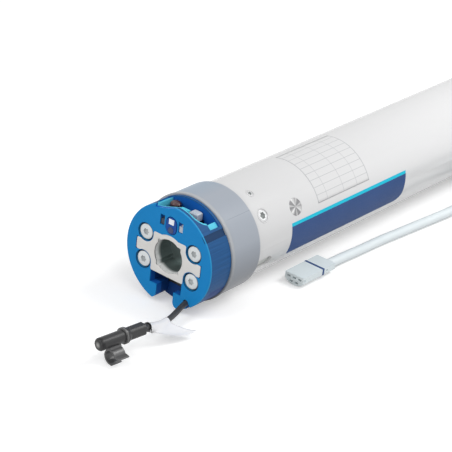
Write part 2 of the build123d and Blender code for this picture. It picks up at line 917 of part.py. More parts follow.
def make_sensor_pinion():
    """Pinion with its magnet, turned by the ring's inner teeth."""
    outline = outer_gear(sensor_teeth, sensor_module, sensor_addendum, sensor_dedendum, sensor_play)
    body = barrel(sensor_start, sensor_end, outline)
    body += barrel(sensor_end, sensor_end + sensor_magnet_length, Circle(sensor_magnet_radius))
    bore = Circle(sensor_post_radius + turning_gap)
    body -= barrel(sensor_start - overrun, sensor_end + sensor_magnet_length + overrun, bore)
    return Pos(-sensor_orbit, 0, 0) * body


def end_screw_y():
    """Place of the screws that hold the end cap."""
    return cap_start + end_cap_spigot / 2


def make_motor_tube():
    """White lacquered tube with its screw holes and front slot."""
    body = barrel(tube_start, tube_end, ring_outline(tube_radius, tube_inner))
    outer = tube_radius + overrun
    inner = tube_inner - overrun
    for turn in (0, 180):
        body -= radial_cutter(tube_start + big_screw_y, big_screw_angle + turn, big_screw_radius, inner, outer)
        body -= radial_cutter(
            tube_start + small_screw_y, small_screw_angle + turn, small_screw_radius, inner, outer
        )
    for angle in end_screw_angles:
        body -= radial_cutter(end_screw_y(), angle, small_screw_radius, inner, outer)
    x, z = polar(1, tube_slot_angle)
    straight = tube_slot_length - tube_slot_width / 2
    middle = tube_start + straight / 2 - overrun / 2
    place = Plane(origin=(inner * x, middle, inner * z), x_dir=(0, 1, 0), z_dir=(x, 0, z))
    outline = Rectangle(straight + overrun, tube_slot_width)
    outline += Pos((straight + overrun) / 2, 0) * Circle(tube_slot_width / 2)
    return body - extrude(place * outline, outer - inner)


def tube_screw(y, angle, head, shank, inner):
    """Screw whose head lies flush in the tube wall."""
    skin = barrel(y - 2 * head, y + 2 * head, Circle(tube_radius - screw_sink))
    body = radial_cutter(y, angle, head - screw_sink, seat_radius, tube_radius + overrun) & skin
    return body + radial_cutter(y, angle, shank, inner, seat_radius)


def make_tube_screws():
    """Screws through the tube: two sizes at the head, four at the end cap."""
    screws = []
    for turn in (0, 180):
        screws.append(
            tube_screw(tube_start + big_screw_y, big_screw_angle + turn, big_screw_radius,
                       big_pin_radius, spigot_inner)
        )
        screws.append(
            tube_screw(tube_start + small_screw_y, small_screw_angle + turn, small_screw_radius,
                       small_pin_radius, spigot_inner)
        )
    for angle in end_screw_angles:
        screws.append(
            tube_screw(end_screw_y(), angle, small_screw_radius, small_pin_radius,
                       output_bush_radius + boss_radius)
        )
    return screws


def below(z):
    """Half plane under a height, large enough for the tube."""
    return Pos(0, z - tube_radius) * Rectangle(2 * tube_radius, 2 * tube_radius)


def wire_channel():
    """Gap that the three motor wires lie in."""
    width = 2 * (wire_spacing + wire_radius + fit_gap)
    return Pos(0, -wire_orbit) * Rectangle(width, 2 * (wire_radius + fit_gap))


def make_inner_tray():
    """Half shell that carries the control board and the capacitor."""
    shell = ring_outline(seat_radius, seat_radius - tray_wall) & below(tray_split)
    body = barrel(tray_start, tray_end, shell)
    wall = Circle(seat_radius) & below(tray_split)
    body += barrel(tray_start, tray_start + tray_end_wall, wall)
    body += barrel(tray_end - tray_end_wall, tray_end, wall)
    cradle = (Circle(seat_radius) & below(0)) - Circle(capacitor_radius)
    for start in (
        capacitor_start + cradle_inset, capacitor_start + capacitor_length - cradle_inset - cradle_width
    ):
        body += barrel(start, start + cradle_width, cradle)
    return body - barrel(board_end + end_gap, tray_end + overrun, wire_channel())


def make_control_board():
    """Printed board with relays, transformer, capacitors and terminals."""
    half = math.sqrt(seat_radius ** 2 - tray_split ** 2) - control_board_edge
    top = tray_split + control_board_thick
    solids = [block(-half, half, board_start, board_end, tray_split, top)]
    y = board_start + end_gap
    solids.append(
        block(-terminal_width / 2, terminal_width / 2, y, y + terminal_length, top, top + terminal_height)
    )
    y += terminal_length + overrun
    for side in (-1, 1):
        near = side * overrun
        far = side * (overrun + relay_width)
        solids.append(
            block(min(near, far), max(near, far), y, y + relay_length, top, top + relay_height)
        )
    y += relay_length + overrun
    body = block(
        -transformer_size / 2, transformer_size / 2, y, y + transformer_length, top, top + transformer_height
    )
    waist = (transformer_size - transformer_core_length) / 2
    for side in (-1, 1):
        edge = side * transformer_size / 2
        cut = block(
            min(edge, edge - side * waist), max(edge, edge - side * waist), y + waist * board_scale_share,
            y + transformer_length - waist * board_scale_share, top + waist, top + transformer_height - waist
        )
        body -= cut
    solids.append(body)
    y += transformer_length + overrun + smoothing_radius
    for x in (-2 * smoothing_radius - overrun, 0, 2 * smoothing_radius + overrun):
        can = Pos(x, y, top + smoothing_height / 2) * Cylinder(smoothing_radius, smoothing_height)
        solids.append(can)
    return solids


def make_capacitor():
    """Run capacitor with a rolled lid and two terminals."""
    end = capacitor_start + capacitor_length
    can = turned(
        [
            (0, capacitor_start), (capacitor_radius, capacitor_start), (capacitor_radius, end),
            (capacitor_lid_radius, end), (capacitor_lid_radius, end - capacitor_lid), (0, end - capacitor_lid),
        ]
    )
    for side in (-1, 1):
        post = Pos(side * capacitor_post_spacing, 0) * Circle(capacitor_post_radius)
        can += barrel(end - capacitor_lid, end + capacitor_post_length - overrun, post)
    return can


def make_inner_wires():
    """Wires from the plug socket to the board, and from the board to the motor."""
    wires = []
    start = receptacle_rear + pin_tail
    top = receptacle_plug_top()
    for x, z in contact_places():
        wires.append(barrel(start, tray_start - seat_gap, Pos(x, top + z) * Circle(wire_radius)))
    for step in (-1, 0, 1):
        place = Pos(step * wire_spacing, -wire_orbit)
        wires.append(barrel(board_end + end_gap + overrun, front_shield_start + shield_plate, place * Circle(wire_radius)))
    return wires


def shield(start, direction):
    """End shield of the motor: plate, rim towards the stator, hub for the bush."""
    d = direction
    body = turned(
        [
            (bush_radius, start), (seat_radius, start), (seat_radius, start + d * shield_rim),
            (shield_rim_inner, start + d * shield_rim), (shield_rim_inner, start + d * shield_plate),
            (shield_hub_radius, start + d * shield_plate), (shield_hub_radius, start + d * shield_hub_length),
            (bush_radius, start + d * shield_hub_length),
        ]
    )
    return body


def make_end_shields():
    """The two end shields of the motor."""
    front = shield(front_shield_start, 1)
    front -= barrel(front_shield_start - overrun, front_shield_start + shield_plate + overrun, wire_channel())
    return [front, shield(rear_shield_end, -1)]


def make_shaft_bushes():
    """Sintered bushes of the rotor shaft."""
    hole = shaft_radius + turning_gap
    outline = ring_outline(bush_radius, hole)
    front = barrel(front_shield_start, front_shield_start + bush_length, outline)
    rear = barrel(rear_shield_end - bush_length, rear_shield_end, outline)
    return [front, rear]


def winding_slot(inset):
    """One stator slot on the X axis, widening outwards, with a narrow mouth."""
    inner = stack_bore + slot_mouth_depth + inset
    outer = stack_bore + slot_mouth_depth + slot_depth - inset
    low = slot_inner_half - inset
    high = slot_outer_half - inset
    return make_face(Polyline((inner, -low), (outer, -high), (outer, high), (inner, low), close=True))


def make_stator_core():
    """Laminated stack with its slots."""
    outline = ring_outline(seat_radius, stack_bore)
    mouth = Pos(stack_bore + slot_mouth_depth / 2, 0)
    mouth *= Rectangle(slot_mouth_depth + 2 * fit_gap, 2 * slot_mouth_half)
    for index in range(slot_count):
        turn = Rot(0, 0, 360 * index / slot_count)
        outline -= turn * winding_slot(0)
        outline -= turn * mouth
    return barrel(stack_start, stack_end, outline)


def make_stator_windings():
    """Copper windings: bars in the slots and a bundle at each end."""
    inner = stack_bore + slot_mouth_depth + 2 * winding_inset
    outer = stack_bore + slot_mouth_depth + slot_depth - 2 * winding_inset
    round_edge = slot_depth / 4
    body = None
    for start, side in ((stack_start, -1), (stack_end, 1)):
        near = start + side * winding_gap
        far = start + side * (winding_gap + winding_overhang - overrun)
        bundle = turned(
            [
                (inner, near), (outer, near), (outer, far - side * round_edge), (outer - round_edge, far),
                (inner + round_edge, far), (inner, far - side * round_edge),
            ]
        )
        body = bundle if body is None else body + bundle
    for index in range(slot_count):
        bar = Rot(0, 0, 360 * index / slot_count) * winding_slot(winding_inset)
        body += barrel(stack_start - winding_gap, stack_end + winding_gap, bar)
    return body


def make_rotor_shaft():
    """Rotor shaft with the first sun gear cut on its end."""
    gear_start, carrier = stages[0]
    body = barrel(front_shield_start + seat_gap, gear_start - end_gap, Circle(shaft_radius))
    sun = outer_gear(sun_teeth, gear_module, addendum, dedendum, tooth_play)
    return body + barrel(gear_start - end_gap, carrier - end_gap, sun)


def make_rotor_core():
    """Cage rotor: stack and two end rings."""
    body = barrel(stack_start, stack_end, ring_outline(rotor_radius, shaft_radius))
    ring = ring_outline(rotor_radius - winding_inset, rotor_end_inner)
    body += barrel(stack_start - rotor_end_ring, stack_start, ring)
    return body + barrel(stack_end, stack_end + rotor_end_ring, ring)


def make_brake_magnet():
    """Brake magnet: iron pot with its potted coil as a second solid."""
    pocket = magnet_end - coil_depth
    pot = turned(
        [
            (magnet_bore, magnet_start), (seat_radius, magnet_start), (seat_radius, magnet_start + shield_plate),
            (magnet_radius, magnet_start + shield_plate), (magnet_radius, magnet_end), (coil_outer, magnet_end),
            (coil_outer, pocket), (coil_inner, pocket), (coil_inner, magnet_end), (spring_radius, magnet_end),
            (spring_radius, magnet_end - spring_height), (magnet_bore, magnet_end - spring_height),
        ]
    )
    coil = barrel(pocket, magnet_end - end_gap, ring_outline(coil_outer, coil_inner))
    pins = []
    for angle in (0, 120, 240):
        x, z = polar(guide_pin_orbit, angle)
        pins.append(barrel(magnet_end, flange_start, Pos(x, z) * Circle(guide_pin_radius)))
    return [pot, coil] + pins


def make_brake_armature():
    """Armature plate that the spring presses on the brake disc."""
    outline = ring_outline(magnet_radius, magnet_bore)
    for angle in (0, 120, 240):
        x, z = polar(guide_pin_orbit, angle)
        outline -= Pos(x, z) * Circle(guide_pin_radius + fit_gap)
        x, z = polar(magnet_radius, angle)
        outline -= Pos(x, z) * Circle(guide_pin_radius + fit_gap)
    return barrel(armature_start, armature_end, outline)


def make_brake_spring():
    """Conical disc spring between the magnet and the armature."""
    base = magnet_end - spring_height
    return turned(
        [
            (spring_radius - fit_gap, base), (spring_radius - fit_gap, base + spring_sheet),
            (spring_bore, armature_start), (spring_bore, armature_start - spring_sheet),
        ]
    )


def make_brake_disc():
    """Friction disc with its hub on the rotor shaft."""
    body = barrel(disc_start, disc_end, ring_outline(brake_disc_radius, shaft_radius))
    return body + barrel(armature_start + end_gap, disc_start, ring_outline(brake_hub_radius, shaft_radius))


def make_gear_flange():
    """Plate between the brake and the gearbox, also the brake's counter face."""
    return barrel(flange_start, housing_start, ring_outline(seat_radius, gear_flange_bore))


def make_gear_housing():
    """Gearbox housing with one long ring gear."""
    space = inner_gear(ring_gear_teeth, gear_module, ring_addendum, dedendum, tooth_play)
    return barrel(housing_start, cap_start, Circle(seat_radius) - space)


def make_planet(stage, index):
    """One planet gear with its bore."""
    start, carrier = stages[stage]
    outline = outer_gear(planet_teeth, gear_module, addendum, dedendum, tooth_play)
    outline -= Circle(planet_pin_radii[stage] + turning_gap)
    angle = 360 * index / planets_per_stage
    x, z = polar(centre_distance, angle)
    return Pos(x, 0, z) * barrel(start, carrier - end_gap, outline)


def make_carrier(stage):
    """Carrier plate with its three planet pins, and the next sun gear on it."""
    start, plate = stages[stage]
    end = plate + carrier_thicknesses[stage]
    body = barrel(plate, end, Circle(carrier_radius))
    for index in range(planets_per_stage):
        x, z = polar(centre_distance, 360 * index / planets_per_stage)
        body += barrel(start, plate, Pos(x, z) * Circle(planet_pin_radii[stage]))
    if stage + 1 < len(stages):
        sun = outer_gear(sun_teeth, gear_module, addendum, dedendum, tooth_play)
        body += barrel(end, stages[stage + 1][1] - end_gap, sun)
    else:
        body -= barrel(plate - overrun, end + overrun, Circle(output_journal_radius))
    return body


def make_output_shaft():
    """Output shaft with two flats, pressed into the last carrier."""
    shoulder = hub_end + output_shoulder
    groove_end = shaft_end - groove_from_end
    groove_radius = output_radius - groove_depth
    body = turned(
        [
            (0, stages[-1][1]), (output_journal_radius, stages[-1][1]), (output_journal_radius, gear_end),
            (output_collar_radius, gear_end), (output_collar_radius, gear_end + output_collar),
            (output_journal_radius, gear_end + output_collar), (output_journal_radius, shoulder),
            (output_radius, shoulder), (output_radius, groove_end - groove_width),
            (groove_radius, groove_end - groove_width), (groove_radius, groove_end),
            (output_radius, groove_end), (output_radius, shaft_end - ring_chamfer),
            (output_radius - ring_chamfer, shaft_end), (0, shaft_end),
        ]
    )
    for side in (-1, 1):
        near = side * (output_radius - output_flat)
        far = side * (output_radius + overrun)
        body -= block(
            -output_radius, output_radius, shoulder, shaft_end + overrun, min(near, far), max(near, far)
        )
    return body


def make_output_bush():
    """Long sintered bush of the output shaft."""
    outline = ring_outline(output_bush_radius, output_journal_radius + turning_gap)
    return barrel(cap_start, hub_end, outline)


def make_end_cap():
    """Bearing cap that closes the tube at the output end."""
    edge = ring_chamfer
    body = turned(
        [
            (output_bush_radius, cap_start), (seat_radius, cap_start), (seat_radius, cap_flange_start),
            (tube_radius, cap_flange_start), (tube_radius, cap_flange_end - edge),
            (tube_radius - edge, cap_flange_end), (end_cap_hub_radius, cap_flange_end),
            (end_cap_hub_radius, hub_end - edge), (end_cap_hub_radius - edge, hub_end),
            (output_bush_radius, hub_end),
        ]
    )
    for angle in end_screw_angles:
        body -= radial_cutter(
            end_screw_y(), angle, small_pin_radius, output_bush_radius + boss_radius, seat_radius + overrun
        )
    return body


def aerial_plane(distance, side, height):
    """Plane square to the aerial axis, a distance back from its front end."""
    run_x = aerial_rear[0] - aerial_front[0]
    run_y = aerial_rear[1] - aerial_front[1]
    length = math.hypot(run_x, run_y)
    ahead = (run_x / length, run_y / length)
    x = aerial_front[0] + ahead[0] * distance + ahead[1] * side
    y = aerial_front[1] + ahead[1] * distance - ahead[0] * side
    place = Plane(
        origin=(x, y, aerial_axis_z + height), x_dir=(ahead[1], -ahead[0], 0), z_dir=(-ahead[0], -ahead[1], 0)
    )
    return place, length


def along_aerial(start, end, outline, side=0, height=0):
    """Outline carried along the aerial axis from one distance to another."""
    place, length = aerial_plane(start, side, height)
    return extrude(place * outline, -(end - start))


def make_aerial_body():
    """Aerial: round front, collar, cone and flattened rear body."""
    length = aerial_plane(0, 0, 0)[1]
    front_end = -aerial_dome
    body = along_aerial(front_end, aerial_front_length, Circle(aerial_front_radius))
    tips = body.edges().sort_by(Axis.Y)[:1]
    body = fillet(tips, aerial_dome)
    collar_end = aerial_front_length + aerial_collar
    body += along_aerial(aerial_front_length, collar_end, Circle(aerial_collar_radius))
    cone_end = collar_end + aerial_cone
    place = aerial_plane(collar_end, 0, 0)[0]
    far_place = aerial_plane(cone_end, 0, 0)[0]
    body += loft([place * Circle(aerial_collar_radius), far_place * Circle(aerial_body_radius)])
    tail_start = length - aerial_body_chamfer
    square = RectangleRounded(2 * aerial_body_radius, 2 * aerial_body_radius, aerial_body_radius / 2)
    body += along_aerial(cone_end - aerial_cone / 2, tail_start, square & Circle(aerial_body_radius * 1.12))
    rear = aerial_plane(tail_start, 0, 0)[0]
    tail = aerial_plane(length, 0, 0)[0]
    body += loft([rear * Circle(aerial_body_radius), tail * Circle(aerial_tail_radius)])
    return body


def make_aerial_clip():
    """Open clip that hangs under the aerial on a short saddle."""
    start = aerial_clip_offset
    end = start + clip_c_length
    ring = ring_outline(clip_c_radius, clip_c_radius - clip_c_wall)
    reach = 3 * clip_c_radius
    first = polar(reach, clip_mouth_angle - clip_mouth_half)
    second = polar(reach, clip_mouth_angle + clip_mouth_half)
    ring -= make_face(Polyline((0, 0), first, second, close=True))
    middle = clip_c_radius - clip_c_wall / 2
    for side in (-1, 1):
        x, z = polar(middle, clip_mouth_angle + side * clip_mouth_half)
        lip = Pos(x, z) * Rot(0, 0, clip_mouth_angle + side * clip_lip_flare)
        ring += lip * (Pos(clip_lip_length / 2, 0) * RectangleRounded(
            clip_lip_length + clip_lip_wall, clip_lip_wall, clip_lip_wall * 0.45))
    lean = math.degrees(math.atan2(-clip_c_z, -clip_c_x))
    far = math.hypot(clip_c_x, clip_c_z)
    neck_start = clip_c_radius - clip_c_wall / 2
    neck = Rot(0, 0, lean) * (Pos((neck_start + far) / 2, 0) * Rectangle(far - neck_start, saddle_width))
    hollow = Pos(-clip_c_x, -clip_c_z) * Circle(aerial_front_radius + turning_gap)
    outline = ring + (neck - hollow)
    low = floor_z - aerial_axis_z - clip_c_z
    outline -= Pos(0, low - reach) * Rectangle(4 * reach, 2 * reach)
    return along_aerial(start, end, outline, clip_c_x, clip_c_z)


def cord_radii(points):
    """Bend radius at each inner point of a cord, 0.45 of the shorter run."""
    radii = []
    for before, here, after in zip(points, points[1:], points[2:]):
        first = Vector(*here) - Vector(*before)
        second = Vector(*after) - Vector(*here)
        turn = math.radians(first.get_angle(second))
        radii.append(0.45 * min(first.length, second.length) / math.tan(turn / 2))
    return radii


def cord_tube(points, radius, name):
    """Tube of straight runs joined by tangent arcs."""
    radii = cord_radii(points)
    path = FilletPolyline(*points, radius=radii)
    start = Plane(origin=points[0], z_dir=Vector(*points[1]) - Vector(*points[0]))
    tube = sweep(start * Circle(radius), path=path)
    share = tube.volume / (math.pi * radius ** 2 * path.length)
    print(name, "radii", [round(r, 1) for r in radii], "length", round(path.length, 1), "fill", round(share, 4))
    return tube


def make_lead_tag():
    """Blank tag: a sleeve round the aerial lead and a flat flag under it."""
    path = FilletPolyline(*lead_points, radius=cord_radii(lead_points))
    first = path.position_at(tag_wrap_share)
    second = path.position_at(tag_wrap_end_share)
    bow = path.position_at((tag_wrap_share + tag_wrap_end_share) / 2) - (first + second) * 0.5
    first += bow * 0.5
    second += bow * 0.5
    run = second - first
    inner = lead_radius + tag_wrap_gap
    place = Plane(origin=first, z_dir=run)
    sleeve = extrude(place * ring_outline(inner + tag_thick, inner), run.length)
    down = (Vector(*tag_tip) - first).cross(run).normalized()
    corners = []
    for corner in (first, Vector(*tag_tip), Vector(*tag_low), second):
        offset = corner - first
        corners.append(first + offset - down * offset.dot(down) + down * inner)
    flag = extrude(make_face(Polyline(*corners, close=True)), tag_thick, dir=down)
    return sleeve + (flag - extrude(place * Circle(inner), run.length))


def make_plug_front():
    """Front part of the plug with its five contact holes."""
    top = floor_z + plug_height
    band = plug_front_y + plug_length * plug_band_share
    place = Pos(plug_x, top)
    body = barrel(plug_front_y, band, place * plug_outline(0))
    body = chamfer(body.edges().group_by(Axis.Y)[0], plug_corner / 3)
    for x, z in contact_places():
        body -= barrel(
            plug_front_y - overrun, plug_front_y + contact_depth,
            Pos(plug_x + x, top + z) * Rectangle(contact_width, contact_height)
        )
    latch = Plane(
        origin=(plug_x + plug_width / 2 + overrun, plug_front_y + plug_corner * 2, top - plug_side / 2),
        z_dir=(-1, 0, 0)
    )
    return body - extrude(latch * Circle(latch_radius), 2 * overrun)


def make_plug_band():
    """Coloured seal between the two parts of the plug."""
    start = plug_front_y + plug_length * plug_band_share
    place = Pos(plug_x, floor_z + plug_height)
    return barrel(start, start + plug_band_width, place * plug_outline(plug_band_proud) & above_floor())


def above_floor():
    """Half plane over the floor, large enough for the pieces that lie on it."""
    return Pos(plug_x, floor_z + tube_radius) * Rectangle(2 * tube_radius, 2 * tube_radius)


def make_plug_back():
    """Rear part of the plug that holds the cable."""
    start = plug_front_y + plug_length * plug_band_share + plug_band_width
    place = Pos(plug_x, floor_z + plug_height)
    body = barrel(start, plug_front_y + plug_length, place * plug_outline(0))
    body = chamfer(body.edges().group_by(Axis.Y)[-1], plug_rear_step)
    latch = Plane(
        origin=(plug_x + plug_width / 2 + overrun, start + plug_corner * 4,
                floor_z + plug_height - plug_side / 2),
        z_dir=(-1, 0, 0)
    )
    return body - extrude(latch * Circle(latch_radius), 2 * overrun)


def coil_radii():
    """Half-turn radii: inwards in the lower layer, a climb, outwards in the upper."""
    step = coil_pitch / 2
    inward = [coil_inner_radius + step * (coil_half_turns - 1 - k) for k in range(coil_half_turns)]
    return inward + [coil_inner_radius - step] + inward[::-1]


def coil_points():
    """Ends and middle of each half turn of the coil, with its start and end."""
    low = floor_z + coil_lift + cable_radius
    x = coil_start_x
    side = 1
    places = []
    for index, radius in enumerate(coil_radii()):
        start = low if index <= coil_half_turns else low + coil_pitch
        end = low if index < coil_half_turns else low + coil_pitch
        far = x + side * 2 * radius
        slant = math.hypot(radius, (end - start) / 2)
        middle = ((x + far) / 2, coil_start_y + side * slant, (start + end) / 2)
        places.append(((x, coil_start_y, start), middle, (far, coil_start_y, end)))
        x = far
        side = -side
    return places


def coil_gap():
    """Least gap of the coil to itself, measured on points along it."""
    points = []
    travelled = 0
    for start, middle, end in coil_points():
        centre = Vector((start[0] + end[0]) / 2, coil_start_y, (start[2] + end[2]) / 2)
        first = Vector(*start) - centre
        second = Vector(*middle) - centre
        for step in range(24):
            turn = math.pi * step / 24
            points.append((travelled + turn * first.length, centre + first * math.cos(turn) + second * math.sin(turn)))
        travelled += math.pi * first.length
    least = None
    reach = coil_inner_radius
    for index, (here, point) in enumerate(points):
        for there, other in points[index + 1:]:
            if there - here > reach:
                gap = (point - other).length - 2 * cable_radius
                least = gap if least is None else min(least, gap)
    print("coil length", round(travelled, 1), "least gap", round(least, 2))
    return least


def make_cable_coil():
    """Coil of the put-away length: one unbroken tube in two layers."""
    places = coil_points()
    lead_in = 2 * cable_radius
    start = places[0][0]
    end = places[-1][2]
    pieces = [Line((start[0], start[1] - lead_in, start[2]), start)]
    pieces += [ThreePointArc(*place) for place in places]
    pieces.append(Line(end, (end[0], end[1] - lead_in, end[2])))
    path = Wire([piece.edge() for piece in pieces])
    section = Plane(origin=(start[0], start[1] - lead_in, start[2]), z_dir=(0, 1, 0)) * Circle(cable_radius)
    coil_gap()
    return sweep(section, path=path)


def make_cable_tie():
    """Strap round the coil."""
    radii = coil_radii()
    largest, smallest = radii[1], radii[coil_half_turns - 1]
    centre_x = coil_start_x + radii[0]
    widest = (tie_width + coil_pitch) / 2
    low = floor_z + tie_wall
    high = floor_z + coil_lift + 2 * cable_radius + coil_pitch + tie_gap
    near = coil_start_y - largest - cable_radius - tie_gap
    bow = smallest - math.sqrt(smallest ** 2 - widest ** 2)
    far = coil_start_y - smallest + cable_radius + tie_gap + bow
    half = tie_width / 2
    outer = block(centre_x - half, centre_x + half, near - tie_wall, far + tie_wall, floor_z, high + tie_wall)
    outer = fillet(outer.edges().filter_by(Axis.X), cable_radius / 2 + tie_wall)
    inner = block(centre_x - half - overrun, centre_x + half + overrun, near, far, low, high)
    inner = fillet(inner.edges().filter_by(Axis.X), cable_radius / 2)
    return outer - inner


def tail_route():
    """Route of the cable's last stretch, from the coil down to the floor."""
    end = coil_points()[-1][2]
    first = (end[0], end[1] - 2 * cable_radius, end[2])
    return [first] + [(first[0] + x, first[1] + y, first[2] + z) for x, y, z in tail_points]


def make_wire_ends():
    """Bare cores at the cable's end, each with its ferrule."""
    route = tail_route()
    run = (Vector(*route[-1]) - Vector(*route[-2])).normalized()
    end = Vector(*route[-1])
    side = Vector(0, 0, 1).cross(run).normalized()
    rise = run.cross(side)
    ends = []
    for x, z in ((-1, -1), (1, -1), (-1, 1), (1, 1)):
        base = end + side * (x * core_spread) + rise * (z * core_spread)
        place = Plane(origin=base, z_dir=run)
        core = extrude(place * Circle(core_radius), core_length)
        tip = Plane(origin=base + run * core_length, z_dir=run)
        ends.append(core + extrude(tip * Circle(ferrule_radius), ferrule_length))
    return ends


def make_all():
    """Every piece by its node name."""
    pieces = {
        "head_cover": make_head_cover(),
        "socket_block": make_socket_block(),
        "head_screws": make_head_screws(),
        "head_neck": make_head_neck(),
        "indicator_insert": make_indicator_insert(),
        "status_window": make_status_window(),
        "set_button": make_set_button(),
        "key_board": make_key_board(),
        "radio_switch": make_radio_switch(),
        "direction_switch": make_direction_switch(),
        "plug_socket": make_plug_socket(),
        "socket_pins": make_socket_pins(),
        "drive_ring": make_drive_ring(),
        "sensor_pinion": make_sensor_pinion(),
        "motor_tube": make_motor_tube(),
        "tube_screws": make_tube_screws(),
        "inner_tray": make_inner_tray(),
        "control_board": make_control_board(),
        "capacitor": make_capacitor(),
        "inner_wires": make_inner_wires(),
        "end_shields": make_end_shields(),
        "shaft_bushes": make_shaft_bushes(),
        "stator_core": make_stator_core(),
        "stator_windings": make_stator_windings(),
        "rotor_shaft": make_rotor_shaft(),
        "rotor_core": make_rotor_core(),
        "brake_magnet": make_brake_magnet(),
        "brake_armature": make_brake_armature(),
        "brake_spring": make_brake_spring(),
        "brake_disc": make_brake_disc(),
        "gear_flange": make_gear_flange(),
        "gear_housing": make_gear_housing(),
        "output_shaft": make_output_shaft(),
        "output_bush": make_output_bush(),
        "end_cap": make_end_cap(),
        "aerial_body": make_aerial_body(),
        "aerial_clip": make_aerial_clip(),
        "aerial_lead": cord_tube(lead_points, lead_radius, "aerial_lead"),
        "lead_tag": make_lead_tag(),
        "plug_front": make_plug_front(),
        "plug_band": make_plug_band(),
        "plug_back": make_plug_back(),
        "supply_cable": cord_tube(cable_points, cable_radius, "supply_cable"),
        "cable_coil": make_cable_coil(),
        "cable_tie": make_cable_tie(),
        "cable_tail": cord_tube(tail_route(), cable_radius, "cable_tail"),
        "wire_ends": make_wire_ends(),
    }
    for stage in range(len(stages)):
        pieces[f"carrier_{stage + 1}"] = make_carrier(stage)
        for index in range(planets_per_stage):
            pieces[f"planet_{stage + 1}_{index + 1}"] = make_planet(stage, index)
    return pieces


def write_piece(name, shape):
    """One STEP file for a node, of one solid or a group of solids."""
    solids = []
    for item in shape if isinstance(shape, list) else [shape]:
        solids.extend(item.solids())
    whole = solids[0] if len(solids) == 1 else Compound(children=solids)
    export_step(whole, f"parts/{name}.step")


if __name__ == "__main__":
    os.makedirs("parts", exist_ok=True)
    for node, piece in make_all().items():
        write_piece(node, piece)
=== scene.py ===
"""Looks of a tubular roller blind motor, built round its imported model.

Lengths are in metres in the model's frame, or in millimetres where a class says so. The
motor axis is Y, the face of the head lies at Y = 0 and looks along -Y, Z is up. Each
class dresses one sub-assembly.
"""

from __future__ import annotations

import logging
import math
from dataclasses import dataclass
from enum import Enum
from typing import Sequence, Union

import bmesh
import bpy
import numpy as np
from mathutils import Matrix, Vector
from mathutils.geometry import tessellate_polygon

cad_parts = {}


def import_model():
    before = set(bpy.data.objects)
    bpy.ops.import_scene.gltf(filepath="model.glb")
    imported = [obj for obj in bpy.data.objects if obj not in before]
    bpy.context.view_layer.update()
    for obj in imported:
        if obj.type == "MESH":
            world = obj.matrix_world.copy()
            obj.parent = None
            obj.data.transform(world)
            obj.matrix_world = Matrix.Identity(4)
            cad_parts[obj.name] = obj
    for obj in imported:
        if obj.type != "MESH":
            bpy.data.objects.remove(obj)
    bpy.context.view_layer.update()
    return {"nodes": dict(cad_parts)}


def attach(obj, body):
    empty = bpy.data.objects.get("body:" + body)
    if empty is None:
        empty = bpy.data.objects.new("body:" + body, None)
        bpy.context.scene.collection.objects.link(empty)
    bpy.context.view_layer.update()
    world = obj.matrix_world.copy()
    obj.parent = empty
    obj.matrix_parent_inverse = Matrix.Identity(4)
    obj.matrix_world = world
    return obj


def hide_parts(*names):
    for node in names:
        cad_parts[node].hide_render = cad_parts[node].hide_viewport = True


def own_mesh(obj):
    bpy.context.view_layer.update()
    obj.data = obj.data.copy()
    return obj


log = logging.getLogger("blind_motor")

Colour = tuple[float, float, float]
Point = tuple[float, float, float]
Pair = tuple[float, float]
Array = np.ndarray
Socket = bpy.types.NodeSocket
Value = Union[Socket, float, tuple]

MM = 0.001
INF = math.inf
BASE = "base"
TUBE_RADIUS = 29.0 * MM
# Screws of the head, across and up from the motor axis, in millimetres.
SCREW_PLACE: Pair = (17.3, 8.45)
SHARP_ANGLE = math.radians(38)
GLOSS_SPREAD = 0.18
COAT_ROUGHNESS = 0.12
BROADER = 25.0
BROAD_DETAIL = 2.0
UNITS = {"turn": math.radians(1), "u": 1.0, "v": 1.0}
MERGE_REACH = 1e-7
SLIVER_REACH = 1e-8
TINY = 1e-9
CORD_ORDER = 3
CORD_STEPS = 6
BEVEL_STEPS = 5
# Painted shade in the narrow gaps round the socket's ears and the head's screws.
GAP_SHADE_BLUE: Colour = (0.004, 0.03, 0.11)
# Painted highlight along the ledges, the wave's edge and the rib of the head.
HIGHLIGHT_CYAN: Colour = (0.1, 0.55, 0.72)


class Grain(Enum):
    """How the surface under a finish was made: noise scale per metre and its stretch."""

    MOULDED = (900.0, (1.0, 1.0, 1.0))
    CAST = (1600.0, (1.0, 1.0, 1.0))
    BRUSHED = (600.0, (1.0, 0.04, 1.0))
    TURNED = (500.0, (1.0, 8.0, 1.0))
    LACQUERED = (60.0, (1.0, 0.35, 1.0))
    SOFT = (2200.0, (1.0, 1.0, 1.0))
    STREAKED = (1400.0, (1.0, 0.03, 1.0))


def scaled(values: tuple[float, ...], factor: float) -> tuple[float, ...]:
    """Numbers times a factor."""
    return tuple(factor * value for value in values)


